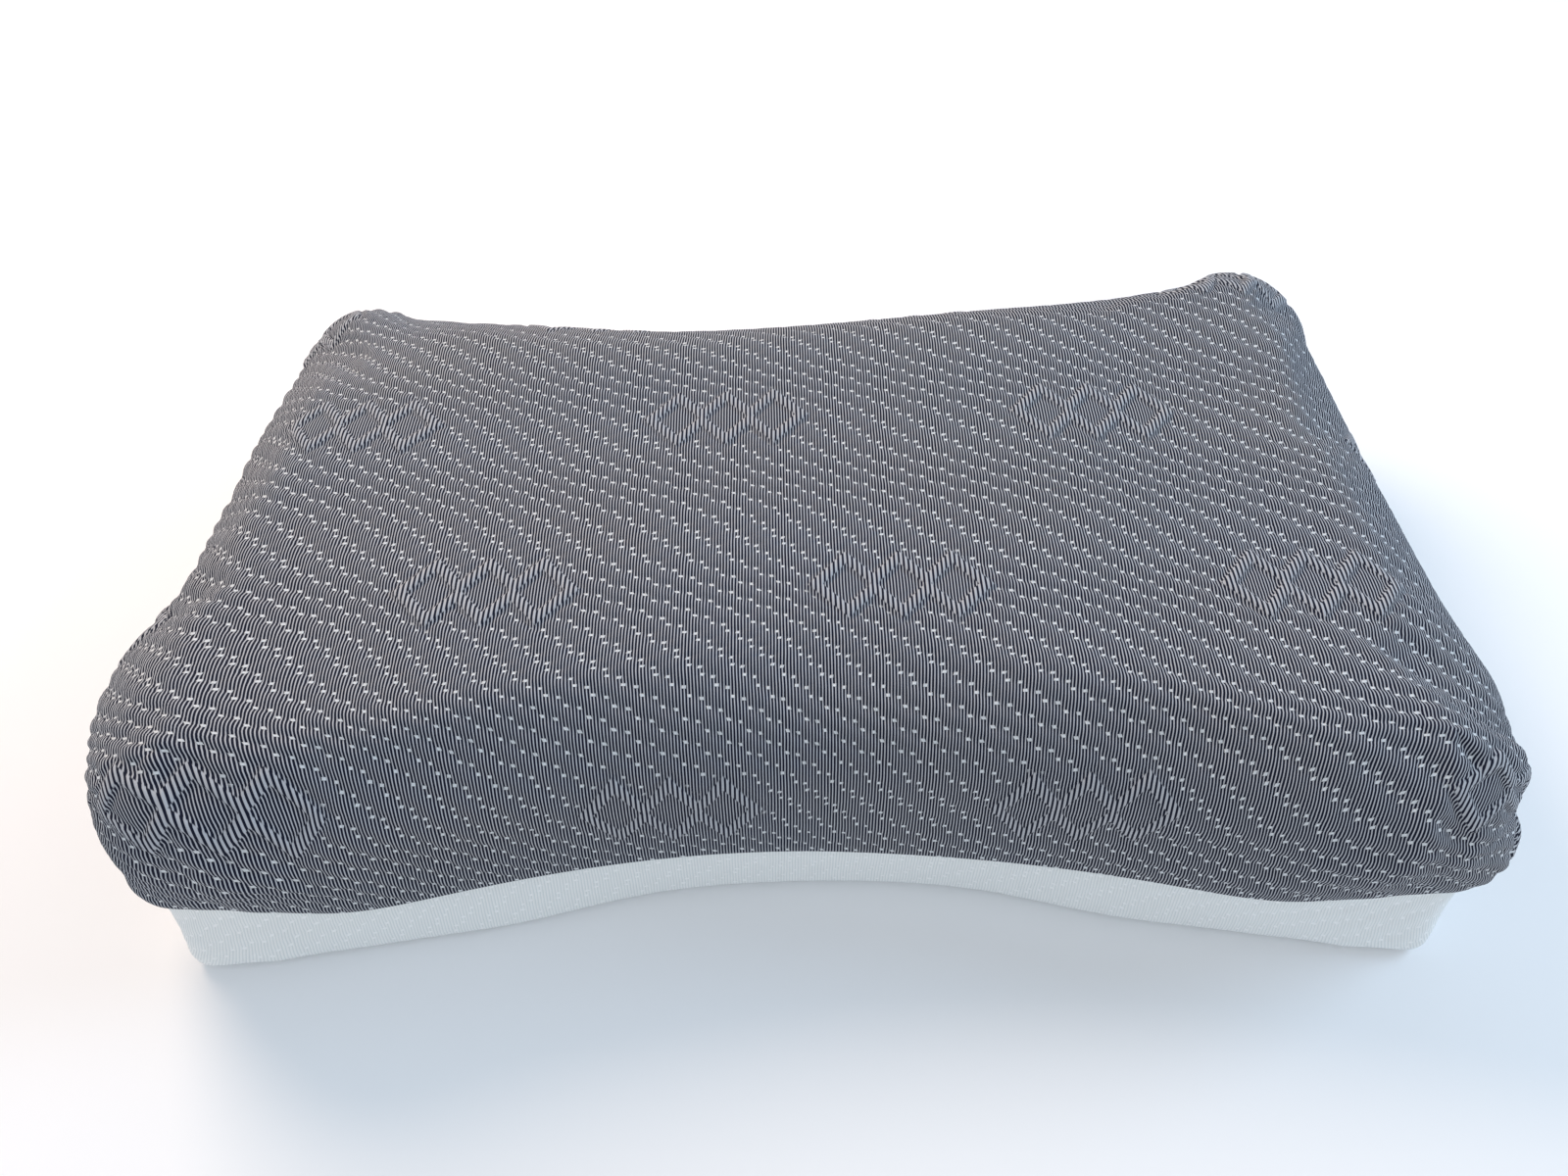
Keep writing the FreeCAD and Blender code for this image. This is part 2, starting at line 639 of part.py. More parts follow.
as_node(envelope("foam_core", FOAM_INSET, FOAM_BASE), "foam_core")
liner()
covers()
for corner, side, end in (
    ("front_left", -1, -1),
    ("front_right", 1, -1),
    ("back_left", -1, 1),
    ("back_right", 1, 1),
):
    corner_dart(f"corner_dart_{corner}", side, end)
zip_halves()
zip_slider()
zip_pull()
care_label()
check_and_write()
print(f"arc radius {value(ARC_RADIUS):.3f}, arc centre {value(ARC_CENTRE):.3f}")
print(f"slider travel {value(f'2 * {SLIDER_REST} * {DEGREES_PER_MM}'):.3f} degrees")
print("pull pivot", NODES[[n.Label for n in NODES].index("zip_pull_tab")].Placement.Base)
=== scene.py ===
"""Contour bed pillow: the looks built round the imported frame."""
import json
import math

import bpy
import numpy as np
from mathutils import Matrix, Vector


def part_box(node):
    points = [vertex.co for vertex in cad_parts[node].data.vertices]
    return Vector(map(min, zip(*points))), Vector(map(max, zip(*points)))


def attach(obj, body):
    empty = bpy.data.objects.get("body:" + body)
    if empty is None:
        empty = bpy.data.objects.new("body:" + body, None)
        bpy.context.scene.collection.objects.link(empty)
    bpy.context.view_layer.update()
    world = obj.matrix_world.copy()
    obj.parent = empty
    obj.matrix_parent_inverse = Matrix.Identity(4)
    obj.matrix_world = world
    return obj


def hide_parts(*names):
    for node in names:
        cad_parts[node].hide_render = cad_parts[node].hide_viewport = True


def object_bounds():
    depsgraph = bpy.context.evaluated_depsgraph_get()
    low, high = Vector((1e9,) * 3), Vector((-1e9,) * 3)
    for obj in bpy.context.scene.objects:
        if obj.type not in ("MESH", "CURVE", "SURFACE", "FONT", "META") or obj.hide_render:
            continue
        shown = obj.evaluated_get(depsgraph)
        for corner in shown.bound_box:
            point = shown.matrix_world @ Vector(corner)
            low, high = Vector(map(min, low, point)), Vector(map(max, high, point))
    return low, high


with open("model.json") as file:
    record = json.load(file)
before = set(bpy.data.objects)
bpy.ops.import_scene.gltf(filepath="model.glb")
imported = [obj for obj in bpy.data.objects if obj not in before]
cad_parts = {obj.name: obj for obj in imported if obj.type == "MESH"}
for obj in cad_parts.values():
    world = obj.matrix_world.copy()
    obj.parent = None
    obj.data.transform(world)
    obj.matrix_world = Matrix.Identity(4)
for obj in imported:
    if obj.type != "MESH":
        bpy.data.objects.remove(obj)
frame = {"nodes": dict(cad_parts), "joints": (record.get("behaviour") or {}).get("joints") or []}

CAD_LOW, CAD_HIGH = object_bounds()
MM = 0.001
QUARTER = math.pi / 2

# Sizes in millimetres, from the frame where it holds them.
HALF_WIDTH = CAD_HIGH.x / MM
TOP = CAD_HIGH.z / MM
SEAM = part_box("cover_top")[0].z / MM
ARC_CENTRE = frame["joints"][0]["pos_m"][1] / MM
SIDE_SAG = 62
ARC_RADIUS = (HALF_WIDTH**2 + SIDE_SAG**2) / (2 * SIDE_SAG)
CORNER = 45            # upright corner, in plan
ROUND = 42             # rounding of the top edge
BASE_ROUND = 8         # rounding of the lower cover's base edge
SLOT_HALF = 193        # half of the zip's slot, along the arc
SLOT_TOP = SEAM + 4.5
SLOT_BOTTOM = SEAM - 4.5
OVERHANG = 2.8         # the top cover stands proud of the lower one
CLOTH_SPAN = 900       # the cloth's flat size that the UV square covers
SLOT_FADE = 8          # length over which the slot's ends close
DART_SHARE = 0.72      # where a corner's dart lies, from the long side to the short one
WRAP_FROM = 30         # a corner's cloth leaves its fan this far from the core's edge
WRAP_OVER = 34         # and lies along a side after this much more
BULGE = 6              # the short sides swell by this
BULGE_SPAN = 95        # over this height
BASE_HEM = 7           # the lower cover runs up behind the top one by this
FOOT_IN = (14, 3)      # how far in the base's edge is, at the short sides and the long ones
CLIMB_END = 8          # the base's sides are at their full width this far below the seam
CORE_INSET = 7.4       # from the covers' face to the foam
LINER_INSET = 5.9      # and to the liner
INNER_FILLET = 12      # rounding of the foam's and liner's base edge
CORE_BASE = 5.0        # height of the foam's base
LINER_BASE = 3.4       # and of the liner's
LINER_SEAM = 60.5      # height at which the liner's two panels meet
CORE_BELT = (55, 62)   # heights between which the core's two sets of rows meet
DART_INSET = 4.6       # from the covers' face to a corner dart's thread
DART_DIRECTION = math.radians(50)


def smooth(t):
    t = np.clip(t, 0, 1)
    return t * t * (3 - 2 * t)


def bell(x, y, at, reach):
    """1 at a place seen from above, falling off over a distance."""
    return np.exp(-((x - at[0]) ** 2 + (y - at[1]) ** 2) / reach**2)


# ---------------------------------------------------------------- shape

class Outline:
    """Columns round the pillow: each one's start on the core, its outward normal and its cloth.

    Round a corner the cloth of the long side wraps on to a dart, and the short side's cloth meets it there.
    """

    def __init__(self, spacing):
        core_radius = ARC_RADIUS + CORNER
        half = HALF_WIDTH - CORNER
        turn = math.asin(half / core_radius)
        depth = ARC_CENTRE - core_radius * math.cos(turn)
        self.nx = nx = round(2 * turn * core_radius / spacing) + 1
        self.ny = ny = round(2 * depth / spacing) + 1
        self.fan = round(CORNER * (QUARTER + turn) / spacing)
        self.dart = round(self.fan * DART_SHARE)
        angles = np.linspace(-turn, turn, nx)
        self.grid_x = core_radius * np.sin(angles)
        self.grid_y = ARC_CENTRE - core_radius * np.cos(angles)
        side_y = np.linspace(-depth, depth, ny)
        self.rows = []
        for i in range(nx):
            self.column((self.grid_x[i], -self.grid_y[i]), -QUARTER - angles[i], i)
        self.corner((half, -depth), -QUARTER - turn, 0, nx - 1, True)
        for j in range(ny):
            self.column((half, side_y[j]), 0, j * nx + nx - 1)
        self.corner((half, depth), 0, QUARTER + turn, nx * ny - 1, False)
        for i in reversed(range(nx)):
            self.column((self.grid_x[i], self.grid_y[i]), QUARTER + angles[i], (ny - 1) * nx + i)
        self.corner((-half, depth), QUARTER - turn, 2 * QUARTER, nx * (ny - 1), True)
        for j in reversed(range(ny)):
            self.column((-half, side_y[j]), 2 * QUARTER, j * nx)
        self.corner((-half, -depth), 2 * QUARTER, 3 * QUARTER + turn, 0, False)
        rows = np.array(self.rows)
        self.core = rows[:, 0:2]
        self.normal = np.stack([np.cos(rows[:, 2]), np.sin(rows[:, 2])], 1)
        self.base = rows[:, 3].astype(int)
        self.share = rows[:, 4]
        self.long_turn, self.short_turn = rows[:, 5], rows[:, 6]
        self.at_dart = rows[:, 7] > 0
        across = self.core[:, 0] + self.normal[:, 0] * CORNER
        arc = ARC_RADIUS * np.arcsin(np.clip(across / ARC_RADIUS, -1, 1))
        at_back = (self.core[:, 1] > 0) & (self.normal[:, 1] > 0.5)
        self.slot = np.where(at_back, smooth((SLOT_HALF + SLOT_FADE / 2 - np.abs(arc)) / SLOT_FADE), 0)
        self.sideways = np.abs(self.normal[:, 0]) ** 0.8

    def column(self, point, angle, index, share=0.0, turns=(0.0, 0.0), dart=0.0):
        self.rows.append((*point, angle, index, share, *turns, dart))

    def corner(self, point, start, end, index, from_long):
        """A fan of columns; share runs from the long side to the short one."""
        total = abs(end - start)
        for step in range(1, self.fan):
            t = step / self.fan
            share = t if from_long else 1 - t
            turns = (share * total, (1 - share) * total)
            at_dart = step == (self.dart if from_long else self.fan - self.dart)
            self.column(point, start + (end - start) * t, index, share, turns, float(at_dart))

    def cloth(self, length, short_side):
        """The cloth's flat place in each column, at a length from the core's edge."""
        side = np.sign(self.core)
        in_fan = self.share > 0
        straight = np.where(np.abs(self.normal[:, :1]) > 0.9999, side * (1, 0), side * (0, 1))
        turn = (1 - self.share[:, None]) * QUARTER
        polar = side * np.concatenate([np.cos(turn), np.sin(turn)], 1) * length[:, None]
        wrapped_long = side * np.stack([CORNER * self.long_turn, length], 1)
        wrapped_short = side * np.stack([length, CORNER * self.short_turn], 1)
        wrapped = np.where(short_side[:, None], wrapped_short, wrapped_long)
        down = smooth((length - WRAP_FROM) / WRAP_OVER)[:, None]
        fan = polar + (wrapped - polar) * down
        return self.core + np.where(in_fan[:, None], fan, straight * length[:, None])

    def cloth_beside(self, length, going_up):
        """The cloth's place as the face before or after each column sees it."""
        past = self.share > DART_SHARE + 1e-6
        before = np.roll(past, 1) & ~past & self.at_dart
        after = np.roll(past, -1) & ~past & self.at_dart
        short_side = past | (after if going_up else before)
        return self.cloth(length, short_side)


# How the filled pillow departs from the drawn one. Places are in plan unless a line says otherwise.
FRONT_CORNER = (300, -195)
CORNER_REACH = 62
CORNER_BACK = 17                   # the front corners are drawn back by this above the seam
END_PULLS = (                      # place on the end (y, z), reach, pull on the left and on the right
    ((-92, 84), 34, 6, 4),
    ((-163, 72), 27, -15, 0),
)
BACK_EDGE = ((105, 0), 115, 7)     # place, reach and pull of the top's back edge
TOP_SWELLS = (                     # height, place and reach of each rise and hollow in the top
    (8, (232, 158), 62), (10, (90, 150), 130), (2, (0, 0), 190), (3, (-255, -140), 60),
    (-13, (-250, 158), 62), (-2, (-120, 60), 90),
)
MOST_RAISED = 7.5
HEM_LIFT = 3                       # the top cover's hem rises by this at the front corners


def widened(x, y, z, corner, above_base, above_seam):
    """How far the ends move outwards: out towards the front and in towards the back, more so on the left."""
    left = x < 0
    outer = smooth((np.abs(x) - 205) / 90)
    high = smooth((z - 20) / 80)
    forward = y / FRONT_CORNER[1]
    spread = np.where(left, np.where(y < 0, 15, 8), 9) * forward * (0.35 + 0.65 * above_base)
    shift = (spread + np.where(left, 7, 1) * forward * high) * outer
    shift += np.where(left, -9, -3 - 4 * above_seam) * corner * above_base
    for place, reach, on_left, on_right in END_PULLS:
        shift += np.where(left, on_left, on_right) * bell(y, z, place, reach) * outer
    return shift


def drawn_back(x, y, corner, above_base, above_seam):
    """How far the long sides move back: in waves at the front's base and seam, and at the top's edges."""
    front = smooth((-y - 80) / 80)
    at_seam = 18 * bell(np.abs(x), 0, (258, 0), 42) + (1.9 - 1.4 * np.tanh(x / 60)) * bell(x, 0, (0, 0), 170)
    at_base = 5 * bell(np.abs(x), 0, (245, 0), 30) - 6.5 * bell(np.abs(x), 0, (140, 0), 52)
    shift = (at_base * (1 - above_base) + at_seam * above_base * (1 - above_seam)) * front
    shift += CORNER_BACK * corner * above_seam
    place, reach, pull = BACK_EDGE
    shift += pull * bell(x, 0, place, reach) * smooth((y - 60) / 60) * above_seam
    return shift


def raised(x, y, z, corner):
    """How far the top rises or sinks, and the hem at the front corners."""
    swell = sum(height * bell(x, y, place, reach) for height, place, reach in TOP_SWELLS)
    swell = np.where(swell > 0, MOST_RAISED * np.tanh(swell / MOST_RAISED), swell)
    at_hem = (1 - smooth((z - 45) / 25)) * smooth((z - 30) / 10)
    return swell * smooth((z - 45) / 70) + HEM_LIFT * corner * at_hem


def settle(points):
    """Moves points of the drawn shape to the soft one, the same way for every layer."""
    x, y, z = points.T
    across, front = FRONT_CORNER
    corner = np.maximum(bell(x, y, (across, front), CORNER_REACH), bell(x, y, (-across, front), CORNER_REACH))
    above_base = smooth((z - 2) / 38)
    above_seam = smooth((z - 50) / 30)
    dx = widened(x, y, z, corner, above_base, above_seam)
    dy = drawn_back(x, y, corner, above_base, above_seam)
    return np.stack([x + dx * np.sign(x), y + dy, z + raised(x, y, z, corner)], 1)


def build(outline, rows, name, upward=True, closed=False):
    """A skin: the core's grid at one height, with rows of points hanging from it all round.

    Each row has an offset, a height and a cloth length over the columns. A closed skin ends in a
    second grid at the last row's height.
    """
    nx, ny = outline.nx, outline.ny
    count = len(outline.core)
    t = np.linspace(-1, 1, ny)[:, None]
    gx = np.broadcast_to(outline.grid_x, (ny, nx)).ravel()
    gy = (t * outline.grid_y).ravel()
    grid_cloth = np.stack([gx, gy], 1)
    points = [np.stack([gx, gy, np.full(len(gx), rows[0][1].mean())], 1)]
    before, after = [grid_cloth], [grid_cloth]
    for offset, height, length in rows[1:]:
        points.append(np.column_stack([outline.core + outline.normal * offset[:, None], height]))
        before.append(outline.cloth_beside(length, False))
        after.append(outline.cloth_beside(length, True))
    if closed:
        points.append(np.stack([gx, gy, np.full(len(gx), rows[-1][1].mean())], 1))
        before.append(grid_cloth)
        after.append(grid_cloth)
    points = settle(np.concatenate(points))
    before, after = np.concatenate(before), np.concatenate(after)
    last = nx * ny + (len(rows) - 1) * count
    faces, places = [], []
    for j in range(ny - 1):
        for i in range(nx - 1):
            a = j * nx + i
            square = [a, a + 1, a + nx + 1, a + nx]
            faces.append(square)
            places.append(before[square])
            if closed:
                square = [last + a, last + a + nx, last + a + nx + 1, last + a + 1]
                faces.append(square)
                places.append(before[square])
    steps = [outline.base] + [nx * ny + k * count + np.arange(count) for k in range(len(rows) - 1)]
    if closed:
        steps.append(last + outline.base)
    for inner, row in zip(steps, steps[1:]):
        for a in range(count):
            b = (a + 1) % count
            face = [int(v) for v in (inner[a], row[a], row[b], inner[b])]
            place = [after[face[0]], after[face[1]], before[face[2]], before[face[3]]]
            keep = [at for at, v in enumerate(face) if v != face[at - 1]]
            faces.append([face[at] for at in keep])
            places.append(np.array([place[at] for at in keep]))
    if not upward:
        faces = [face[::-1] for face in faces]
        places = [place[::-1] for place in places]
    mesh = bpy.data.meshes.new(name)
    mesh.from_pydata((points * MM).tolist(), [], faces)
    mesh.update()
    uv = mesh.uv_layers.new(name="OFBake")
    flat = np.concatenate(places) / CLOTH_SPAN + 0.5
    uv.data.foreach_set("uv", flat.astype(np.float32).ravel())
    thing = bpy.data.objects.new(name, mesh)
    bpy.context.scene.collection.objects.link(thing)
    return thing


def rows_of(outline, list_of):
    """Profile rows with single numbers spread over the columns."""
    one = np.ones(len(outline.core))
    return [tuple(value * one for value in row) for row in list_of]


def rounding(steps):
    """Rows of offset, height and cloth length over the rounded top edge."""
    rows, length = [(0.0, float(TOP), 0.0)], 0.0
    for a in np.linspace(0, QUARTER, steps + 1)[1:]:
        offset, height = CORNER * math.sin(a), TOP - ROUND + ROUND * math.cos(a)
        length += math.hypot(offset - rows[-1][0], height - rows[-1][1])
        rows.append((offset, height, length))
    return rows


def top_profile(outline):
    """The top cover: over the rounded edge, down the side and under at the hem."""
    bulge = BULGE * outline.sideways * (1 - outline.slot)
    hem = SEAM + (SLOT_TOP - SEAM) * outline.slot
    made = []
    for offset, height, length in rounding(10):
        made.append((offset + bulge * math.sin(math.pi * (TOP - height) / BULGE_SPAN), height, length))
    start = made[-1][2]
    drop = TOP - ROUND - hem
    for t in (0.2, 0.4, 0.6, 0.8, 0.93):
        height = TOP - ROUND - drop * t
        made.append((CORNER + bulge * np.sin(np.pi * (TOP - height) / BULGE_SPAN), height, start + drop * t))
    end = start + drop
    low = CORNER + bulge * np.sin(np.pi * (TOP - hem) / BULGE_SPAN)
    made += [
        (low - 0.1, hem + 0.8, end - 0.8), (low - 0.6, hem + 0.1, end + 0.3), (low - 1.5, hem, end + 1.2),
        (low - 2.3, hem + 0.6, end + 2.4), (low - 2.5, hem + 3, end + 5), (low - 2.5, hem + 7, end + 9),
    ]
    return rows_of(outline, made)


def squared(outline, sideways, forward):
    """An offset for each column that makes a squarer corner between a side and a front."""
    across, along = np.abs(outline.normal.T)
    return ((across / sideways) ** 5 + (along / forward) ** 5) ** -0.2


def base_profile(outline):
    """The lower cover: in from the middle of the base, round its edge and up behind the top cover."""
    out = CORNER - OVERHANG
    foot = squared(outline, out - FOOT_IN[0], out - FOOT_IN[1])
    lean = out - foot
    rows = [(0, 0, 0), (foot * 0.3, 0, foot * 0.3), (foot * 0.65, 0, foot * 0.65)]
    for a in np.linspace(0, QUARTER, 5):
        offset = foot - BASE_ROUND + BASE_ROUND * math.sin(a)
        rows.append((offset, BASE_ROUND - BASE_ROUND * math.cos(a), foot - BASE_ROUND + BASE_ROUND * a))
    start = rows[-1][2]
    inside = SEAM + BASE_HEM
    hem = inside + (SLOT_BOTTOM - inside) * outline.slot
    for t in (0.2, 0.4, 0.6, 0.8, 0.95):
        height = BASE_ROUND + (hem - BASE_ROUND) * t
        climb = smooth((height - BASE_ROUND) / (SEAM - CLIMB_END - BASE_ROUND))
        rows.append((foot + lean * climb, height, start + height - BASE_ROUND))
    end = start + hem - BASE_ROUND
    rows += [(out - 0.1, hem - 0.5, end - 0.5), (out - 0.8, hem, end + 0.5), (out - 1.8, hem - 0.6, end + 2)]
    rows.append((out - 2, hem - 4, end + 5))
    return rows_of(outline, rows)


def arrays(mesh):
    """Points in millimetres, normals and the cloth's place at each point."""
    count = len(mesh.vertices)
    points, normals = np.zeros(count * 3, np.float32), np.zeros(count * 3, np.float32)
    mesh.vertices.foreach_get("co", points)
    mesh.vertex_normals.foreach_get("vector", normals)
    loops, uv = np.zeros(len(mesh.loops), int), np.zeros(len(mesh.loops) * 2, np.float32)
    mesh.loops.foreach_get("vertex_index", loops)
    mesh.uv_layers["OFBake"].data.foreach_get("uv", uv)
    cloth = np.zeros((count, 2))
    cloth[loops] = (uv.reshape(-1, 2) - 0.5) * CLOTH_SPAN
    return points.reshape(-1, 3).astype(float) / MM, normals.reshape(-1, 3).astype(float), cloth


def refine(thing, levels):
    """Subdivides and applies, keeping the cloth's coordinates straight."""
    modifier = thing.modifiers.new("Refine", "SUBSURF")
    modifier.levels = modifier.render_levels = levels
    modifier.uv_smooth = "PRESERVE_BOUNDARIES"
    graph = bpy.context.evaluated_depsgraph_get()
    mesh = bpy.data.meshes.new_from_object(thing.evaluated_get(graph))
    old = thing.data
    thing.modifiers.clear()
    thing.data = mesh
    mesh.name = thing.name
    bpy.data.meshes.remove(old)
    mesh.polygons.foreach_set("use_smooth", np.ones(len(mesh.polygons), bool))
    mesh.update()


SWELL_FRAMES = 20
MOST_SWELL = 5.0       # the cloth may move this far
HELD_RIM = 16          # the cover is held up to this far above the seam


def puff(thing):
    """Lets the cover swell over its filling as cloth, held at its hem."""
    scene = bpy.context.scene
    mesh = thing.data
    rest = np.zeros(len(mesh.vertices) * 3, np.float32)
    mesh.vertices.foreach_get("co", rest)
    rest = rest.reshape(-1, 3)
    held = thing.vertex_groups.new(name="held")
    for index in np.nonzero(rest[:, 2] < (SEAM + HELD_RIM) * MM)[0].tolist():
        held.add([index], 1.0, "REPLACE")
    modifier = thing.modifiers.new("Swell", "CLOTH")
    settings = modifier.settings
    settings.quality = 5
    settings.mass = 0.15
    settings.use_pressure = True
    settings.uniform_pressure_force = 3.0
    settings.vertex_group_mass = "held"
    settings.shrink_min = -0.012
    settings.tension_stiffness = settings.compression_stiffness = 12
    settings.bending_stiffness = 0.4
    settings.effector_weights.gravity = 0
    modifier.point_cache.frame_start, modifier.point_cache.frame_end = 1, SWELL_FRAMES
    for number in range(1, SWELL_FRAMES + 1):
        scene.frame_set(number)
    shaped = thing.evaluated_get(bpy.context.evaluated_depsgraph_get()).data
    now = np.zeros(len(mesh.vertices) * 3, np.float32)
    shaped.vertices.foreach_get("co", now)
    thing.modifiers.remove(modifier)
    scene.frame_set(1)
    shift = now.reshape(-1, 3) - rest
    size = np.linalg.norm(shift, axis=1)[:, None] + 1e-9
    shift *= np.minimum(1, MOST_SWELL * MM / size)
    mesh.vertices.foreach_set("co", (rest + shift).ravel())
    thing.vertex_groups.clear()
    mesh.update()


# ---------------------------------------------------------------- the knit's pattern

STRIPE = 1.4                       # pitch of the ribs
CHAIN_STEP = (6.8, -4.7)           # from one stitch pair to the next, down a chain
CHAIN_PITCH = 18.0                 # from one chain to the next, across
STITCHES = ((6.0, -1.8), (10.7, -2.8))
STITCH_HALF = (0.9, 0.68)
DIMPLE = (7.0, 4.5)                # squares of a stitch's dimple, across and along
DIMPLE_DEPTH = 1.1
RIDGE_HEIGHT = 0.65                # between the chains
RIDGE_SHIFT = 2
RIB_EDGE = 0.3                     # softness of a rib's edge
WAVE = ((5.0, 70.0), (3.0, 160.0))  # sway of the chains: size and length, along and across
MOTIF_PITCH = (184.0, -111.5)
MOTIF_START = (-40.0, 46.0)
MOTIF_STEP = 79.5                  # sideways from one row of motifs to the next
LINK_HALF = (14.0, 16.0)
LINK_GAP = 24.0
STROKE = 5.0
MOTIF_MARGIN = 4.0
GROOVE = (1.6, 1.3, 0.5)           # beside a stroke: place, width and depth
TUCKS = (                          # place, depth, number of folds and their turn
    ((306, -152, 84), 4.5, 7, 0.4),
    ((-318, -140, 72), 4.0, 6, 1.1),
    ((-282, 172, 88), 3.5, 6, 0.2),
    ((272, 184, 96), 4.0, 7, 0.9),
)
TUCK_SLIT = (30, 150)              # squares of a tuck's width and height
TUCK_REACH = 24
FOLD_START, FOLD_REACH, FOLD_HEIGHT = 10, 32, 0.9
FLAT_BACK, FLAT_HALF, FLAT_TALL = 110, 212, 24   # the covers are flat beside the zip within these


def swayed(u, v):
    (along, along_length), (across, across_length) = WAVE
    return u + along * np.sin(2 * np.pi * v / along_length) + across * np.sin(2 * np.pi * u / across_length)


def motif_distance(u, v):
    """Distance in millimetres from the nearest link's stroke line, negative inside the link."""
    row = np.round((v - MOTIF_START[1]) / MOTIF_PITCH[1])
    q = v - MOTIF_START[1] - row * MOTIF_PITCH[1]
    p = u - MOTIF_START[0] - row * MOTIF_STEP
    p = p - np.round(p / MOTIF_PITCH[0]) * MOTIF_PITCH[0]
    p = np.abs(p)
    link = np.minimum(p, np.abs(p - LINK_GAP))
    width, height = LINK_HALF
    return (link / width + np.abs(q) / height - 1) * (width * height / math.hypot(width, height))


def relief(u, v, motif=True):
    """Height of the quilted knit over its backing, in millimetres."""
    su = swayed(u, v)
    dimples = np.zeros(len(u))
    for du, dv in STITCHES:
        i0 = np.round((v - dv) / CHAIN_STEP[1])
        for di in (-1, 0, 1):
            i = i0 + di
            y = v - dv - i * CHAIN_STEP[1]
            x = su - du - i * CHAIN_STEP[0]
            x = x - np.round(x / CHAIN_PITCH) * CHAIN_PITCH
            dimples = np.maximum(dimples, np.exp(-(x**2 / DIMPLE[0] + y**2 / DIMPLE[1])))
    first_u, first_v = STITCHES[0]
    across = (su - first_u - RIDGE_SHIFT - (v - first_v) / CHAIN_STEP[1] * CHAIN_STEP[0]) / CHAIN_PITCH
    ridge = 0.5 - 0.5 * np.cos(2 * np.pi * across)
    height = RIDGE_HEIGHT * ridge**0.7 - DIMPLE_DEPTH * dimples
    if motif:
        signed = motif_distance(u, v)
        plain = smooth((signed - STROKE / 2) / MOTIF_MARGIN)
        distance = np.abs(signed)
        stroke = 1 - smooth((distance - STROKE / 2 + 0.7) / 1.6)
        place, width, depth = GROOVE
        height = height * plain + stroke - depth * np.exp(-((distance - STROKE / 2 - place) / width) ** 2)
    return height


def off_zip(points):
    """0 beside the zip, where the covers lie flat over its tapes, and 1 away from it."""
    x, y, z = points.T
    beside = smooth((y - FLAT_BACK) / 15) * smooth((FLAT_HALF - np.abs(x)) / 12)
    return 1 - beside * smooth((SEAM + FLAT_TALL - z) / 8) * smooth((z - SEAM + FLAT_TALL) / 8)


def gathers(points):
    """Tucks sewn at the corners, with small folds that run out from them, in millimetres."""
    x, y, z = points.T
    height = np.zeros(len(points))
    for place, depth, folds, turned in TUCKS:
        dx, dy, dz = x - place[0], y - place[1], z - place[2]
        away = np.sqrt(dx**2 + dy**2 + dz**2)
        across = (dx + dy * np.sign(place[0] * place[1])) * 0.7  # along the corner's diagonal
        angle = np.arctan2(dz, across) + turned
        slit = np.exp(-(across**2 / TUCK_SLIT[0] + dz**2 / TUCK_SLIT[1]))
        height -= depth * slit * np.exp(-((away / TUCK_REACH) ** 2))
        ring = smooth(away / FOLD_START) * np.exp(-((away / FOLD_REACH) ** 2))
        height += FOLD_HEIGHT * np.cos(angle * folds) * ring
    return height


def quilt(thing, strength, fade, motif):
    """Moves every point along its normal by the knit's relief and, on the top cover, by its tucks."""
    points, normals, cloth = arrays(thing.data)
    height = relief(cloth[:, 0], cloth[:, 1], motif) * strength * fade(points) * off_zip(points)
    if motif:
        height += gathers(points)
    moved = (points + normals * height[:, None]) * MM
    thing.data.vertices.foreach_set("co", moved.astype(np.float32).ravel())
    thing.data.update()


# ---------------------------------------------------------------- node materials

class Term:
    """A node socket that takes part in sums."""

    tree = None

    def __init__(self, socket):
        self.socket = socket

    @classmethod
    def math(cls, operation, *inputs, clamp=False):
        node = cls.tree.nodes.new("ShaderNodeMath")
        node.operation = operation
        node.use_clamp = clamp
        for place, value in zip(node.inputs, inputs):
            if isinstance(value, Term):
                cls.tree.links.new(value.socket, place)
            else:
                place.default_value = value
        return Term(node.outputs[0])

    def __add__(self, other):
        return Term.math("ADD", self, other)

    def __sub__(self, other):
        return Term.math("SUBTRACT", self, other)

    def __mul__(self, other):
        return Term.math("MULTIPLY", self, other)

    def __truediv__(self, other):
        return Term.math("DIVIDE", self, other)

    def absolute(self):
        return Term.math("ABSOLUTE", self)

    def rounded(self):
        return Term.math("ROUND", self)

    def sine(self):
        return Term.math("SINE", self)

    def least(self, other):
        return Term.math("MINIMUM", self, other)

    def most(self, other):
        return Term.math("MAXIMUM", self, other)

    def step(self, low, high):
        """0 below low and 1 above high, with a smooth climb."""
        node = self.tree.nodes.new("ShaderNodeMapRange")
        node.interpolation_type = "SMOOTHSTEP"
        self.tree.links.new(self.socket, node.inputs["Value"])
        node.inputs["From Min"].default_value = min(low, high)
        node.inputs["From Max"].default_value = max(low, high)
        node.inputs["To Min"].default_value = 0 if low < high else 1
        node.inputs["To Max"].default_value = 1 if low < high else 0
        return Term(node.outputs[0])


def linear(*colour):
    """An sRGB colour, 0 to 255, as the renderer's linear one."""
    share = [c / 255 for c in colour]
    return [c / 12.92 if c <= 0.04045 else ((c + 0.055) / 1.055) ** 2.4 for c in share] + [1]


def new_material(name):
    material = bpy.data.materials.new(name)
    material.use_nodes = True
    Term.tree = material.node_tree
    shader = material.node_tree.nodes["Principled BSDF"]
    return material, shader


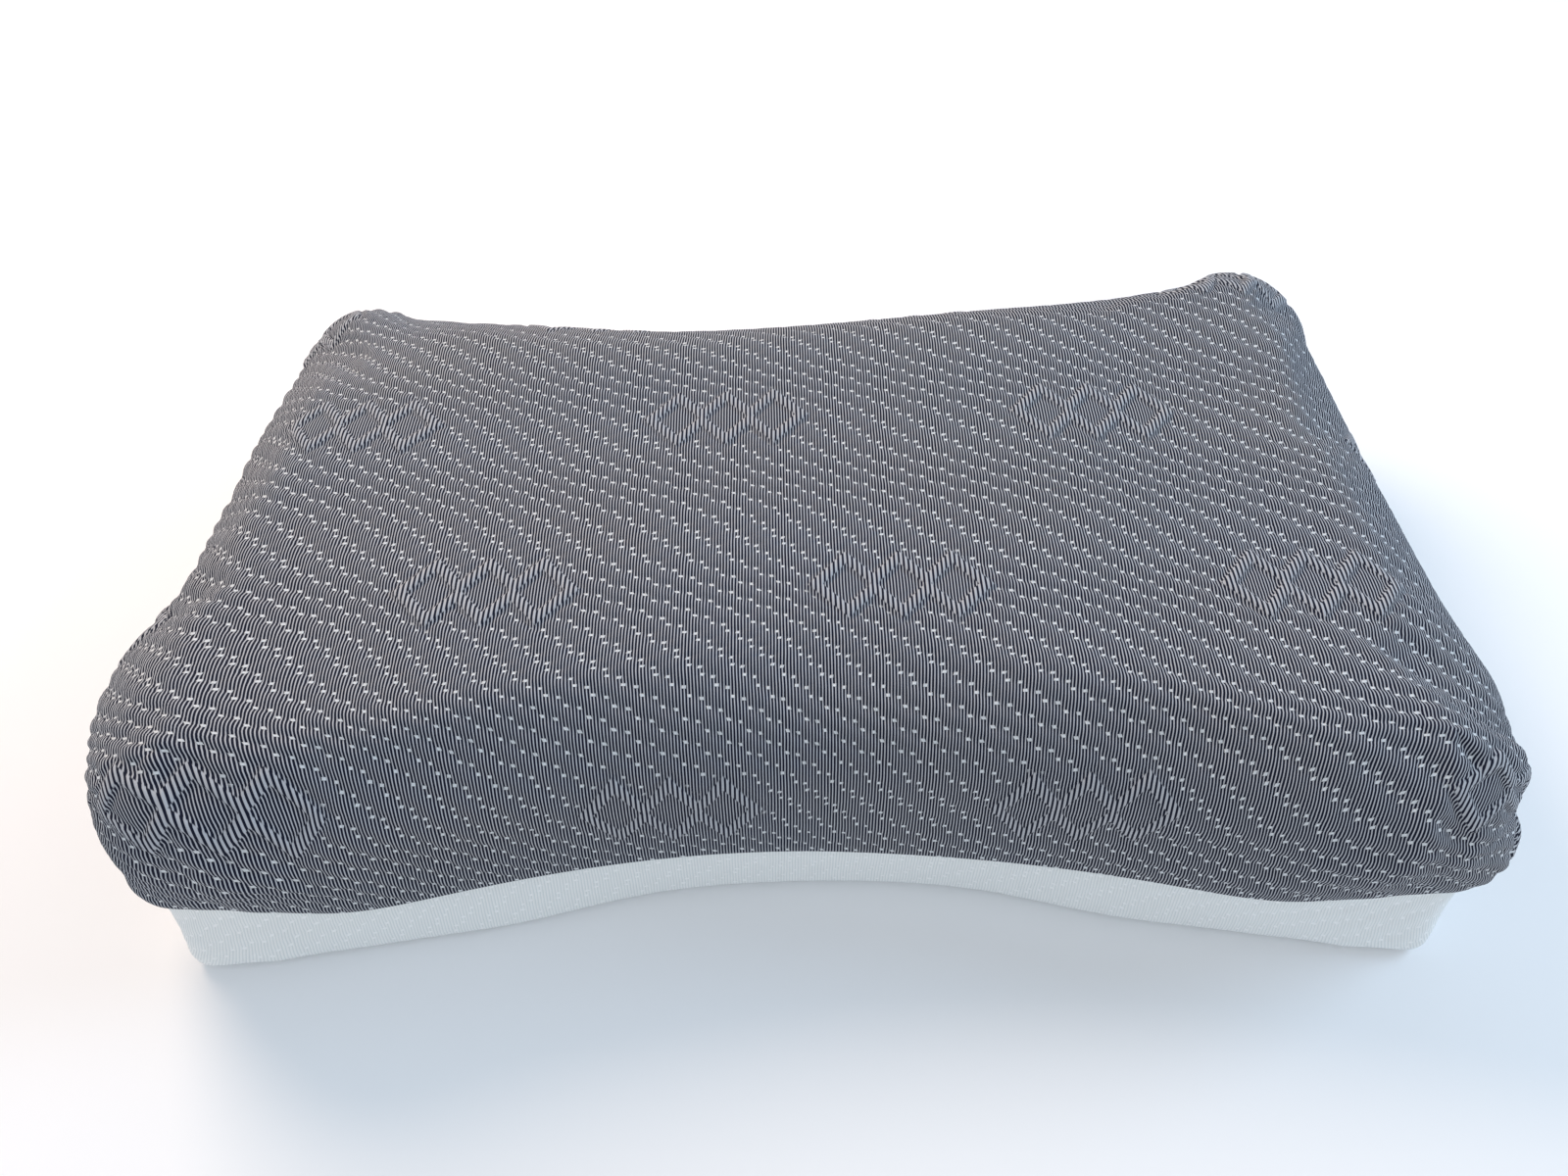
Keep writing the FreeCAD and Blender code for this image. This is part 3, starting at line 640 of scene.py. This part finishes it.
def node(kind, **inputs):
    made = Term.tree.nodes.new(kind)
    for key, value in inputs.items():
        socket = made.inputs[key.replace("_", " ")]
        if isinstance(value, Term):
            Term.tree.links.new(value.socket, socket)
        else:
            socket.default_value = value
    return made


def mix(share, first, second):
    """A colour between two, each a colour or a Term."""
    made = Term.tree.nodes.new("ShaderNodeMix")
    made.data_type = "RGBA"
    Term.tree.links.new(share.socket, made.inputs[0])
    for place, value in ((made.inputs[6], first), (made.inputs[7], second)):
        if isinstance(value, Term):
            Term.tree.links.new(value.socket, place)
        else:
            place.default_value = value
    return Term(made.outputs[2])


def noise(where, scale, detail=2.0, roughness=0.5):
    made = node("ShaderNodeTexNoise", Vector=where, Scale=scale, Detail=detail, Roughness=roughness)
    return Term(made.outputs["Fac"])


def object_place():
    return Term(Term.tree.nodes.new("ShaderNodeTexCoord").outputs["Object"])


def cloth_place():
    """The cloth's flat coordinates in millimetres, from the UV map."""
    uv = Term.tree.nodes.new("ShaderNodeUVMap")
    uv.uv_map = "OFBake"
    parts = Term.tree.nodes.new("ShaderNodeSeparateXYZ")
    Term.tree.links.new(uv.outputs[0], parts.inputs[0])
    u = (Term(parts.outputs[0]) - 0.5) * float(CLOTH_SPAN)
    v = (Term(parts.outputs[1]) - 0.5) * float(CLOTH_SPAN)
    return u, v


def connect(shader, name, term):
    Term.tree.links.new(term.socket, shader.inputs[name])


def bump(shader, height, distance, strength=1.0):
    made = node("ShaderNodeBump", Strength=strength, Distance=distance * MM, Height=height)
    Term.tree.links.new(made.outputs[0], shader.inputs["Normal"])


def stitch_mask(u, v):
    """1 on the stitch dots that cross the ribs."""
    (along, along_length), (across, across_length) = WAVE
    lengthwise = (v * (2 * math.pi / along_length)).sine() * along
    crosswise = (u * (2 * math.pi / across_length)).sine() * across
    su = u + lengthwise + crosswise
    found = None
    for du, dv in STITCHES:
        i = ((v - dv) / CHAIN_STEP[1]).rounded()
        y = (v - dv - i * CHAIN_STEP[1]).absolute()
        x = su - du - i * CHAIN_STEP[0]
        x = (x - (x / CHAIN_PITCH).rounded() * CHAIN_PITCH).absolute()
        dot = (x / STITCH_HALF[0]).most(y / STITCH_HALF[1]).step(1.15, 0.8)
        found = dot if found is None else found.most(dot)
    return found


def motif_field(u, v):
    """The same distance as motif_distance, in nodes."""
    row = ((v - MOTIF_START[1]) / MOTIF_PITCH[1]).rounded()
    q = (v - MOTIF_START[1] - row * MOTIF_PITCH[1]).absolute()
    p = u - MOTIF_START[0] - row * MOTIF_STEP
    p = (p - (p / MOTIF_PITCH[0]).rounded() * MOTIF_PITCH[0]).absolute()
    link = p.least((p - LINK_GAP).absolute())
    width, height = LINK_HALF
    return (link / width + q / height - 1) * (width * height / math.hypot(width, height))


def ribs(u, pitch, share):
    """1 in the light part of each rib."""
    wave = (u * (2 * math.pi / pitch)).sine()
    edge = math.sin(math.pi * (0.5 - share))
    return wave.step(edge - RIB_EDGE, edge + RIB_EDGE), wave


def top_fabric():
    """Navy and white ribbed double knit with raised white stitches and links."""
    material, shader = new_material("striped_knit")
    u, v = cloth_place()
    place = object_place()
    wander = (noise(place, 45.0) - 0.5) * 0.8
    signed = motif_field(u, v)
    distance = signed.absolute()
    on_stroke = distance.step(STROKE / 2 + 0.3, STROKE / 2 - 0.3)
    light, wave = ribs(u + wander, STRIPE, 0.37)
    coarse_light, _ = ribs(u + wander, 2.1, 0.52)
    light = light + (coarse_light - light) * on_stroke
    tint = noise(place, 9.0, 3.0)
    navy = mix(tint, linear(6, 16, 40), linear(17, 21, 37))
    white = mix(tint, linear(170, 177, 187), linear(183, 180, 181))
    colour = mix(light, navy, white)
    dots = stitch_mask(u, v) * signed.step(STROKE / 2 + 1, STROKE / 2 + MOTIF_MARGIN)
    colour = mix(dots, colour, linear(212, 215, 218))
    connect(shader, "Base Color", colour)
    fuzz = noise(place, 900.0, 2.0)
    height = wave * 0.18 + fuzz * 0.25 + dots * 0.6
    bump(shader, height, 0.5, 0.7)
    connect(shader, "Roughness", fuzz * 0.2 + 0.72)
    shader.inputs["Sheen Weight"].default_value = 0.05
    shader.inputs["Sheen Roughness"].default_value = 0.5
    shader.inputs["Specular IOR Level"].default_value = 0.15
    return material


def base_fabric():
    """Plain white knit with small sunk stitches, and painted shade in the troughs of its ribs."""
    material, shader = new_material("white_knit")
    u, v = cloth_place()
    place = object_place()
    _, wave = ribs(u + (noise(place, 45.0) - 0.5) * 1.1, STRIPE, 0.5)
    dots = stitch_mask(u, v)
    tint = noise(place, 12.0, 3.0)
    fine = noise(place, 1100.0, 2.0)
    plain = mix(tint, linear(234, 236, 235), linear(241, 242, 241))
    # painted shade: where the rib wave is low, which is where the bump sinks, the white is coloured darker
    ribbed = mix(wave.step(-0.9, 0.3), linear(218, 222, 222), plain)
    colour = mix(dots, ribbed, linear(244, 245, 245))
    connect(shader, "Base Color", colour)
    bump(shader, wave * 0.12 + fine * 0.25 + dots * 0.3, 0.5, 0.6)
    connect(shader, "Roughness", fine * 0.15 + 0.78)
    shader.inputs["Sheen Weight"].default_value = 0.2
    shader.inputs["Sheen Roughness"].default_value = 0.5
    return material


def plain_fabric(name, dark, pale, scale, depth):
    """A woven or knitted fabric of one colour, from two crossed sets of threads, with painted shade where
    they sink.
    """
    material, shader = new_material(name)
    place = object_place()
    parts = Term.tree.nodes.new("ShaderNodeSeparateXYZ")
    Term.tree.links.new(place.socket, parts.inputs[0])
    x, y, z = (Term(out) for out in parts.outputs)
    warp = ((x + y * 0.35) * (2 * math.pi / (scale * MM))).sine()
    weft = (z * (2 * math.pi / (scale * MM))).sine()
    weave = warp * weft
    fine = noise(place, 1500.0, 2.0)
    # the tone is partly a random tint and partly painted shade: darker where the weave sinks, as the bump
    # does
    colour = mix((weave * 0.35 + fine).step(-0.2, 1.0), linear(*dark), linear(*pale))
    connect(shader, "Base Color", colour)
    bump(shader, weave * 0.5 + fine * 0.3, depth, 0.8)
    connect(shader, "Roughness", fine * 0.2 + 0.7)
    return material


def foam_material():
    """Open-celled memory foam, with painted shade darkening its pores."""
    material, shader = new_material("memory_foam")
    place = object_place()
    cells = node("ShaderNodeTexVoronoi", Vector=place, Scale=700.0)
    pores = Term(cells.outputs["Distance"])
    tint = noise(place, 15.0, 3.0)
    pale = mix(tint, linear(247, 243, 226), linear(240, 234, 210))
    # painted shade: the pores, the pits that the bump makes, are coloured darker, with a random pale tint
    # between them
    colour = mix(pores.step(0.15, 0.6), linear(206, 199, 172), pale)
    connect(shader, "Base Color", colour)
    bump(shader, pores, 0.6, 0.7)
    connect(shader, "Roughness", tint * 0.1 + 0.85)
    return material


def zinc():
    """White-coated zinc, a little worn."""
    material, shader = new_material("coated_zinc")
    place = object_place()
    wear = noise(place, 420.0, 4.0)
    fine = noise(place, 2500.0, 2.0)
    colour = mix(wear.step(0.6, 0.72), linear(214, 216, 216), linear(150, 152, 155))
    connect(shader, "Base Color", colour)
    connect(shader, "Roughness", wear * 0.25 + 0.28)
    bump(shader, fine, 0.05, 0.5)
    shader.inputs["Metallic"].default_value = 0.35
    shader.inputs["Coat Weight"].default_value = 0.4
    shader.inputs["Coat Roughness"].default_value = 0.2
    return material


def nylon():
    """White nylon of the zip's teeth."""
    material, shader = new_material("nylon_coil")
    place = object_place()
    fine = noise(place, 2000.0, 2.0)
    connect(shader, "Base Color", mix(fine, linear(222, 223, 222), linear(238, 239, 238)))
    connect(shader, "Roughness", fine * 0.2 + 0.3)
    bump(shader, fine, 0.05, 0.4)
    shader.inputs["Subsurface Weight"].default_value = 0.1
    return material


def floor_material():
    material, shader = new_material("floor")
    place = object_place()
    tint = noise(place, 3.0, 2.0)
    connect(shader, "Base Color", mix(tint, linear(243, 243, 244), linear(247, 247, 248)))
    connect(shader, "Roughness", tint * 0.1 + 0.75)
    return material


# ---------------------------------------------------------------- small parts

def on_arc(along, depth, height):
    """Points at distances along the back's arc, a depth in from the cover's face, and a height."""
    angle = np.asarray(along, float) / ARC_RADIUS
    radius = ARC_RADIUS + np.asarray(depth, float)
    place = (radius * np.sin(angle), ARC_CENTRE - radius * np.cos(angle), height)
    return np.stack(np.broadcast_arrays(*place), -1)


def tube(path, radius, sides, closed=False):
    """Points and faces of a round tube along a path, with flat ends unless it is closed."""
    path = np.asarray(path, float)
    if closed:
        ahead = np.roll(path, -1, 0) - np.roll(path, 1, 0)
    else:
        ahead = np.gradient(path, axis=0)
    ahead /= np.linalg.norm(ahead, axis=1)[:, None]
    guide = np.array([0.31, 0.17, 0.93])
    first = np.cross(ahead, guide)
    first /= np.linalg.norm(first, axis=1)[:, None]
    second = np.cross(ahead, first)
    turn = np.linspace(0, 2 * np.pi, sides, endpoint=False)
    radius = np.broadcast_to(radius, len(path))[:, None, None]
    ring = first[:, None] * np.cos(turn)[None, :, None] + second[:, None] * np.sin(turn)[None, :, None]
    points = (path[:, None] + radius * ring).reshape(-1, 3)
    faces, count = [], len(path)
    for k in range(count if closed else count - 1):
        m = (k + 1) % count
        for a in range(sides):
            b = (a + 1) % sides
            faces.append((k * sides + a, k * sides + b, m * sides + b, m * sides + a))
    if not closed:
        faces.append(tuple(reversed(range(sides))))
        faces.append(tuple(range((count - 1) * sides, count * sides)))
    return points, faces


def joined(parts):
    """Several lots of points and faces as one."""
    points, faces, start = [], [], 0
    for some_points, some_faces in parts:
        points.append(some_points)
        faces += [tuple(v + start for v in face) for face in some_faces]
        start += len(some_points)
    return np.concatenate(points), faces


def make(name, points, faces, smooth_faces=True):
    mesh = bpy.data.meshes.new(name)
    mesh.from_pydata((np.asarray(points) * MM).tolist(), [], faces)
    mesh.polygons.foreach_set("use_smooth", np.full(len(mesh.polygons), smooth_faces))
    mesh.update()
    thing = bpy.data.objects.new(name, mesh)
    bpy.context.scene.collection.objects.link(thing)
    return thing


def seam_line(outline, inset, height, keep):
    """Points round the pillow inside the covers, in order, for the columns that keep is true for."""
    offset = CORNER - inset
    points = np.column_stack([outline.core + outline.normal * offset, np.full(len(outline.core), height)])
    points = settle(points)
    if keep is None:
        return points
    start = int(np.argmin(keep)) if not keep.all() else 0
    order = (np.arange(len(points)) + start) % len(points)
    return points[order][keep[order]]


def evenly(points, step, closed):
    """The same line with evenly spaced points."""
    if closed:
        points = np.vstack([points, points[:1]])
    length = np.concatenate([[0], np.cumsum(np.linalg.norm(np.diff(points, axis=0), axis=1))])
    count = max(2, round(length[-1] / step))
    at = np.linspace(0, length[-1], count, endpoint=not closed)
    return np.stack([np.interp(at, length, points[:, k]) for k in range(3)], 1)


def overlock(line, pitch, depth, rise, thread, closed):
    """Thread that loops round a seam's edge: a flattened helix along a line."""
    per_turn = 8
    line = evenly(line, pitch / per_turn, closed)
    if closed:
        line = line[: len(line) // per_turn * per_turn]
    turn = np.arange(len(line)) * 2 * np.pi / per_turn
    ahead = np.gradient(line, axis=0)
    across = np.cross(ahead, (0, 0, 1))
    across /= np.linalg.norm(across, axis=1)[:, None]
    up = np.cross(across, ahead)
    up /= np.linalg.norm(up, axis=1)[:, None]
    path = line + across * (depth * np.cos(turn))[:, None] + up * (rise * np.sin(turn))[:, None]
    return tube(path, thread, 5, closed)


# ---------------------------------------------------------------- the pieces

def finish_piece(thing, material, body, slot, *nodes):
    thing.data.materials.clear()
    thing.data.materials.append(material)
    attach(thing, body)
    if nodes:
        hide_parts(*nodes)
    return thing


def layer_rows(outline, inset, low, high, fillet):
    """The side of an inner layer: over the top's rounding and down its side, following the covers."""
    rows = [(0, high, 0)]
    reach = CORNER - inset
    for a in np.linspace(0, QUARTER, 7):
        offset = reach - fillet + fillet * math.sin(a)
        rows.append((offset, high - fillet + fillet * math.cos(a), offset))
    for t in (0.33, 0.66, 1):
        rows.append((reach, high - fillet + (low - high + fillet) * t, reach + t))
    return rows_of(outline, rows)


def lower_rows(outline, inset, low, high, fillet):
    """The lower part of an inner layer, from the middle of the base outwards and up."""
    reach = CORNER - inset
    foot = squared(outline, reach - FOOT_IN[0], reach - FOOT_IN[1])
    lean = reach - foot
    rows = [(0, low, 0), (foot * 0.5, low, foot * 0.5)]
    for a in np.linspace(0, QUARTER, 5):
        offset = foot - fillet + fillet * math.sin(a)
        rows.append((offset, low + fillet - fillet * math.cos(a), offset))
    for t in (0.33, 0.66, 1):
        height = low + fillet + (high - low - fillet) * t
        climb = smooth((height - fillet) / (SEAM - CLIMB_END - fillet))
        rows.append((foot + lean * climb, height, foot + t))
    return rows_of(outline, rows)


def cover_pieces():
    cover = build(TOP_OUTLINE, top_profile(TOP_OUTLINE), "quilted_top_cover")
    puff(cover)
    refine(cover, 2)
    quilt(cover, 1.0, lambda p: smooth((p[:, 2] - SEAM - 0.5) / 8), True)
    finish_piece(cover, top_fabric(), "pillow", "cover_top", "cover_top")
    lower = build(BASE_OUTLINE, base_profile(BASE_OUTLINE), "white_lower_cover", upward=False)
    refine(lower, 2)
    quilt(lower, 0.45, lambda p: smooth((p[:, 2] - 3) / 6) * smooth((SEAM - p[:, 2]) / 5), False)
    finish_piece(lower, base_fabric(), "pillow", "cover_bottom", "cover_bottom")


def filling_pieces():
    """The foam core and the two panels of its liner, just inside the covers."""
    outline = INNER_OUTLINE
    side = layer_rows(outline, CORE_INSET, CORE_BELT[1], TOP - CORE_INSET, ROUND - CORE_INSET)
    foot = lower_rows(outline, CORE_INSET, CORE_BASE, CORE_BELT[0], INNER_FILLET)
    core = build(outline, side + foot[::-1], "foam_block", closed=True)
    refine(core, 1)
    finish_piece(core, foam_material(), "pillow", "foam", "foam_core")
    jersey = plain_fabric("liner_jersey", (214, 213, 207), (243, 242, 238), 1.1, 0.3)
    side = layer_rows(outline, LINER_INSET, LINER_SEAM, TOP - LINER_INSET, ROUND - LINER_INSET)
    upper = build(outline, side, "liner_top_panel")
    foot = lower_rows(outline, LINER_INSET, LINER_BASE, LINER_SEAM, INNER_FILLET)
    base = build(outline, foot, "liner_base_panel", upward=False)
    panels = ((upper, "liner_upper", (0.74, 0.50), 0.30), (base, "liner_lower", (0.70, 0.46), 0.28))
    for panel, node_name, flat, area in panels:
        refine(panel, 1)
        finish_piece(panel, jersey, "pillow", "liner", node_name)


def seam_pieces():
    """The overlocked seams: round the covers, up the corners and round the liner."""
    navy = plain_fabric("navy_thread", (26, 30, 44), (62, 68, 88), 0.5, 0.2)
    white = plain_fabric("white_thread", (205, 205, 200), (240, 240, 237), 0.5, 0.2)
    line = seam_line(SEAM_OUTLINE, 5.0, SEAM, SEAM_OUTLINE.slot < 0.02)
    ring = overlock(line, pitch=4.0, depth=0.8, rise=3.5, thread=0.32, closed=False)
    finish_piece(make("cover_overlock", *ring), navy, "pillow", "seam_thread", "edge_seam")
    line = seam_line(SEAM_OUTLINE, 6.5, 60, None)
    ring = overlock(line, pitch=5.0, depth=0.25, rise=1.2, thread=0.2, closed=True)
    finish_piece(make("liner_overlock", *ring), white, "pillow", "liner", "liner_seam")
    angle = np.radians(np.linspace(32, 88, 24))
    out = CORNER - ROUND + (ROUND - DART_INSET) * np.sin(angle)
    height = TOP - ROUND + (ROUND - DART_INSET) * np.cos(angle)
    across = HALF_WIDTH - CORNER + out * math.cos(DART_DIRECTION)
    back = depth_at_corner() + out * math.sin(DART_DIRECTION)
    corners = (("front_left", -1, -1), ("front_right", 1, -1), ("back_left", -1, 1), ("back_right", 1, 1))
    for name, x_side, y_side in corners:
        line = settle(np.stack([x_side * across, y_side * back, height], 1))
        dart = overlock(line, pitch=3.4, depth=0.6, rise=0.45, thread=0.25, closed=False)
        thing = make(f"dart_overlock_{name}", *dart)
        finish_piece(thing, navy, "pillow", "seam_thread", f"corner_dart_{name}")
    return navy, white


def depth_at_corner():
    """How far behind the middle the core's corners are."""
    radius = ARC_RADIUS + CORNER
    return ARC_CENTRE - math.sqrt(radius**2 - (HALF_WIDTH - CORNER) ** 2)


TOOTH_PITCH = 1.5
TEETH_HALF = 189.0     # half of the teeth's length, along the arc
STOP_ROOM = 5          # left for the stop at the teeth's start
TOOTH_RISE = np.array([2.6, 1.9, 1.0, 0.1, -0.35, -0.3])     # along one tooth: from the zip's middle,
TOOTH_DEPTH = np.array([2.5, 1.75, 1.45, 1.4, 1.7, 2.2])     # in from the cover's face,
TOOTH_SWAY = np.array([0.18, 0.1, 0.0, 0.0, 0.0, 0.12])      # along the zip
TOOTH_THICK = np.array([0.3, 0.36, 0.4, 0.42, 0.36, 0.25])   # and its radius


def coil_teeth(material):
    """Two rows of nylon teeth that mesh along the middle of the slot."""
    start = -TEETH_HALF + STOP_ROOM
    for name, side, shift in (("upper", 1, 0.0), ("lower", -1, 0.5)):
        teeth = []
        for along in np.arange(start + shift * TOOTH_PITCH, TEETH_HALF - 1, TOOTH_PITCH):
            path = on_arc(along + TOOTH_SWAY * side, TOOTH_DEPTH, SEAM + side * TOOTH_RISE)
            teeth.append(tube(path, TOOTH_THICK, 8))
        cord = on_arc(np.arange(start - 1, TEETH_HALF, 3.0), 2.35, SEAM + side * 2.2)
        teeth.append(tube(cord, 0.3, 6))
        coil = make(f"coil_teeth_{name}", *joined(teeth))
        finish_piece(coil, material, "pillow", "zip_teeth", f"zip_teeth_{name}")


def topstitches(name, height, node_name, material, slot):
    """A row of separate stitches that dip into the cover at both ends."""
    length, gap = 2.5, 0.9
    stitches = []
    for along in np.arange(-SLOT_HALF + 2, SLOT_HALF - 3, length + gap):
        path = on_arc(along + np.linspace(0, length, 7), -0.28 + 0.9 * np.linspace(-1, 1, 7) ** 4, height)
        stitches.append(tube(path, 0.24, 6))
    finish_piece(make(name, *joined(stitches)), material, "pillow", slot, node_name)


def care_label():
    """A blank folded label that hangs from the seam and lifts a little at its foot."""
    low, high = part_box("care_label")
    middle = (low.x + high.x) / 2 / MM
    along = ARC_RADIUS * math.asin(middle / ARC_RADIUS)
    width, drop = 20.0, (high.z - low.z) / MM
    across = np.linspace(-width / 2, width / 2, 21)
    down = np.linspace(0, drop, 31)
    layers = []
    for face in (0.0, -0.55):
        for d in down:
            lift = 0.3 + 1.6 * (d / drop) ** 2 + 0.35 * np.sin(across / 3.1 + d / 9)
            layers.append(on_arc(along + across + 0.4 * math.sin(d / 7), face - lift, SEAM - 0.2 - d))
    points = np.concatenate(layers)
    columns, rows = len(across), len(down)
    offset = columns * rows
    faces = []
    for j in range(rows - 1):
        for i in range(columns - 1):
            a = j * columns + i
            faces.append((a, a + 1, a + columns + 1, a + columns))
            faces.append((offset + a, offset + a + columns, offset + a + columns + 1, offset + a + 1))
    edge = list(range(columns)) + [j * columns + columns - 1 for j in range(1, rows)]
    edge += [(rows - 1) * columns + i for i in reversed(range(columns - 1))]
    edge += [j * columns for j in reversed(range(1, rows - 1))]
    for a, b in zip(edge, edge[1:] + edge[:1]):
        faces.append((a, offset + a, offset + b, b))
    label = make("blank_label", points, faces)
    satin = plain_fabric("label_satin", (226, 226, 224), (246, 246, 245), 0.45, 0.12)
    satin.node_tree.nodes["Principled BSDF"].inputs["Sheen Weight"].default_value = 0.3
    finish_piece(label, satin, "pillow", "label", "care_label")


def zip_finish():
    """The CAD's tapes, stops, slider and pull with their own materials."""
    metal, tape = zinc(), plain_fabric("zip_tape_weave", (206, 206, 202), (240, 240, 237), 0.7, 0.2)
    for name in ("zip_tape_upper", "zip_tape_lower"):
        paint(name, tape)
    for name in ("zip_top_stop_upper", "zip_top_stop_lower", "zip_bottom_stop", "zip_slider", "zip_pull_tab"):
        paint(name, metal)


def paint(name, material):
    mesh = frame["nodes"][name].data
    mesh.materials.clear()
    mesh.materials.append(material)


TOP_OUTLINE = Outline(6.6)
BASE_OUTLINE = Outline(8.8)
INNER_OUTLINE = Outline(12.0)
SEAM_OUTLINE = Outline(5.0)

filling_pieces()
cover_pieces()
navy_thread, white_thread = seam_pieces()
coil_teeth(nylon())
topstitches("topstitch_upper", SLOT_TOP + 2.7, "zip_stitching_upper", navy_thread, "seam_thread")
topstitches("topstitch_lower", SLOT_BOTTOM - 2.7, "zip_stitching_lower", white_thread, "zip_tape")
care_label()
zip_finish()


# ---------------------------------------------------------------- stage, light and camera

def stage():
    bpy.ops.mesh.primitive_plane_add(size=60, location=(0, 0, 0))
    floor = bpy.context.object
    floor.name = "floor"
    floor.data.materials.append(floor_material())


def area_light(name, place, size, power, colour):
    lamp = bpy.data.lights.new(name, "AREA")
    lamp.shape = "DISK"
    lamp.size = size
    lamp.energy = power
    lamp.color = colour
    thing = bpy.data.objects.new(name, lamp)
    thing.location = place
    thing.rotation_euler = (Vector((0, 0, 0.05)) - Vector(place)).to_track_quat("-Z", "Y").to_euler()
    bpy.context.scene.collection.objects.link(thing)


def lights():
    area_light("window", (-1.1, 1.1, 1.3), 1.0, 28, (1.0, 0.78, 0.62))
    area_light("sky", (1.6, 0.3, 1.0), 0.9, 14, (0.56, 0.77, 1.0))
    area_light("fill", (-0.3, -1.6, 0.8), 1.6, 1.5, (0.74, 0.87, 1.0))
    world = bpy.data.worlds.new("studio")
    world.use_nodes = True
    world.node_tree.nodes["Background"].inputs[0].default_value = (0.86, 0.93, 1.0, 1)
    world.node_tree.nodes["Background"].inputs[1].default_value = 0.72
    bpy.context.scene.world = world


def camera():
    data = bpy.data.cameras.new("camera")
    data.lens = 27.72
    data.sensor_width = 36
    data.clip_start = 0.01
    thing = bpy.data.objects.new("camera", data)
    pitch, yaw = math.radians(49.66), math.radians(0.82)
    forward = Vector((math.sin(yaw) * math.cos(pitch), math.cos(yaw) * math.cos(pitch), -math.sin(pitch)))
    thing.location = (-0.0175, -0.4128, 0.5348)
    thing.rotation_euler = forward.to_track_quat("-Z", "Y").to_euler()
    bpy.context.scene.collection.objects.link(thing)
    bpy.context.scene.camera = thing


stage()
lights()
camera()
bpy.context.scene.view_settings.view_transform = "Standard"
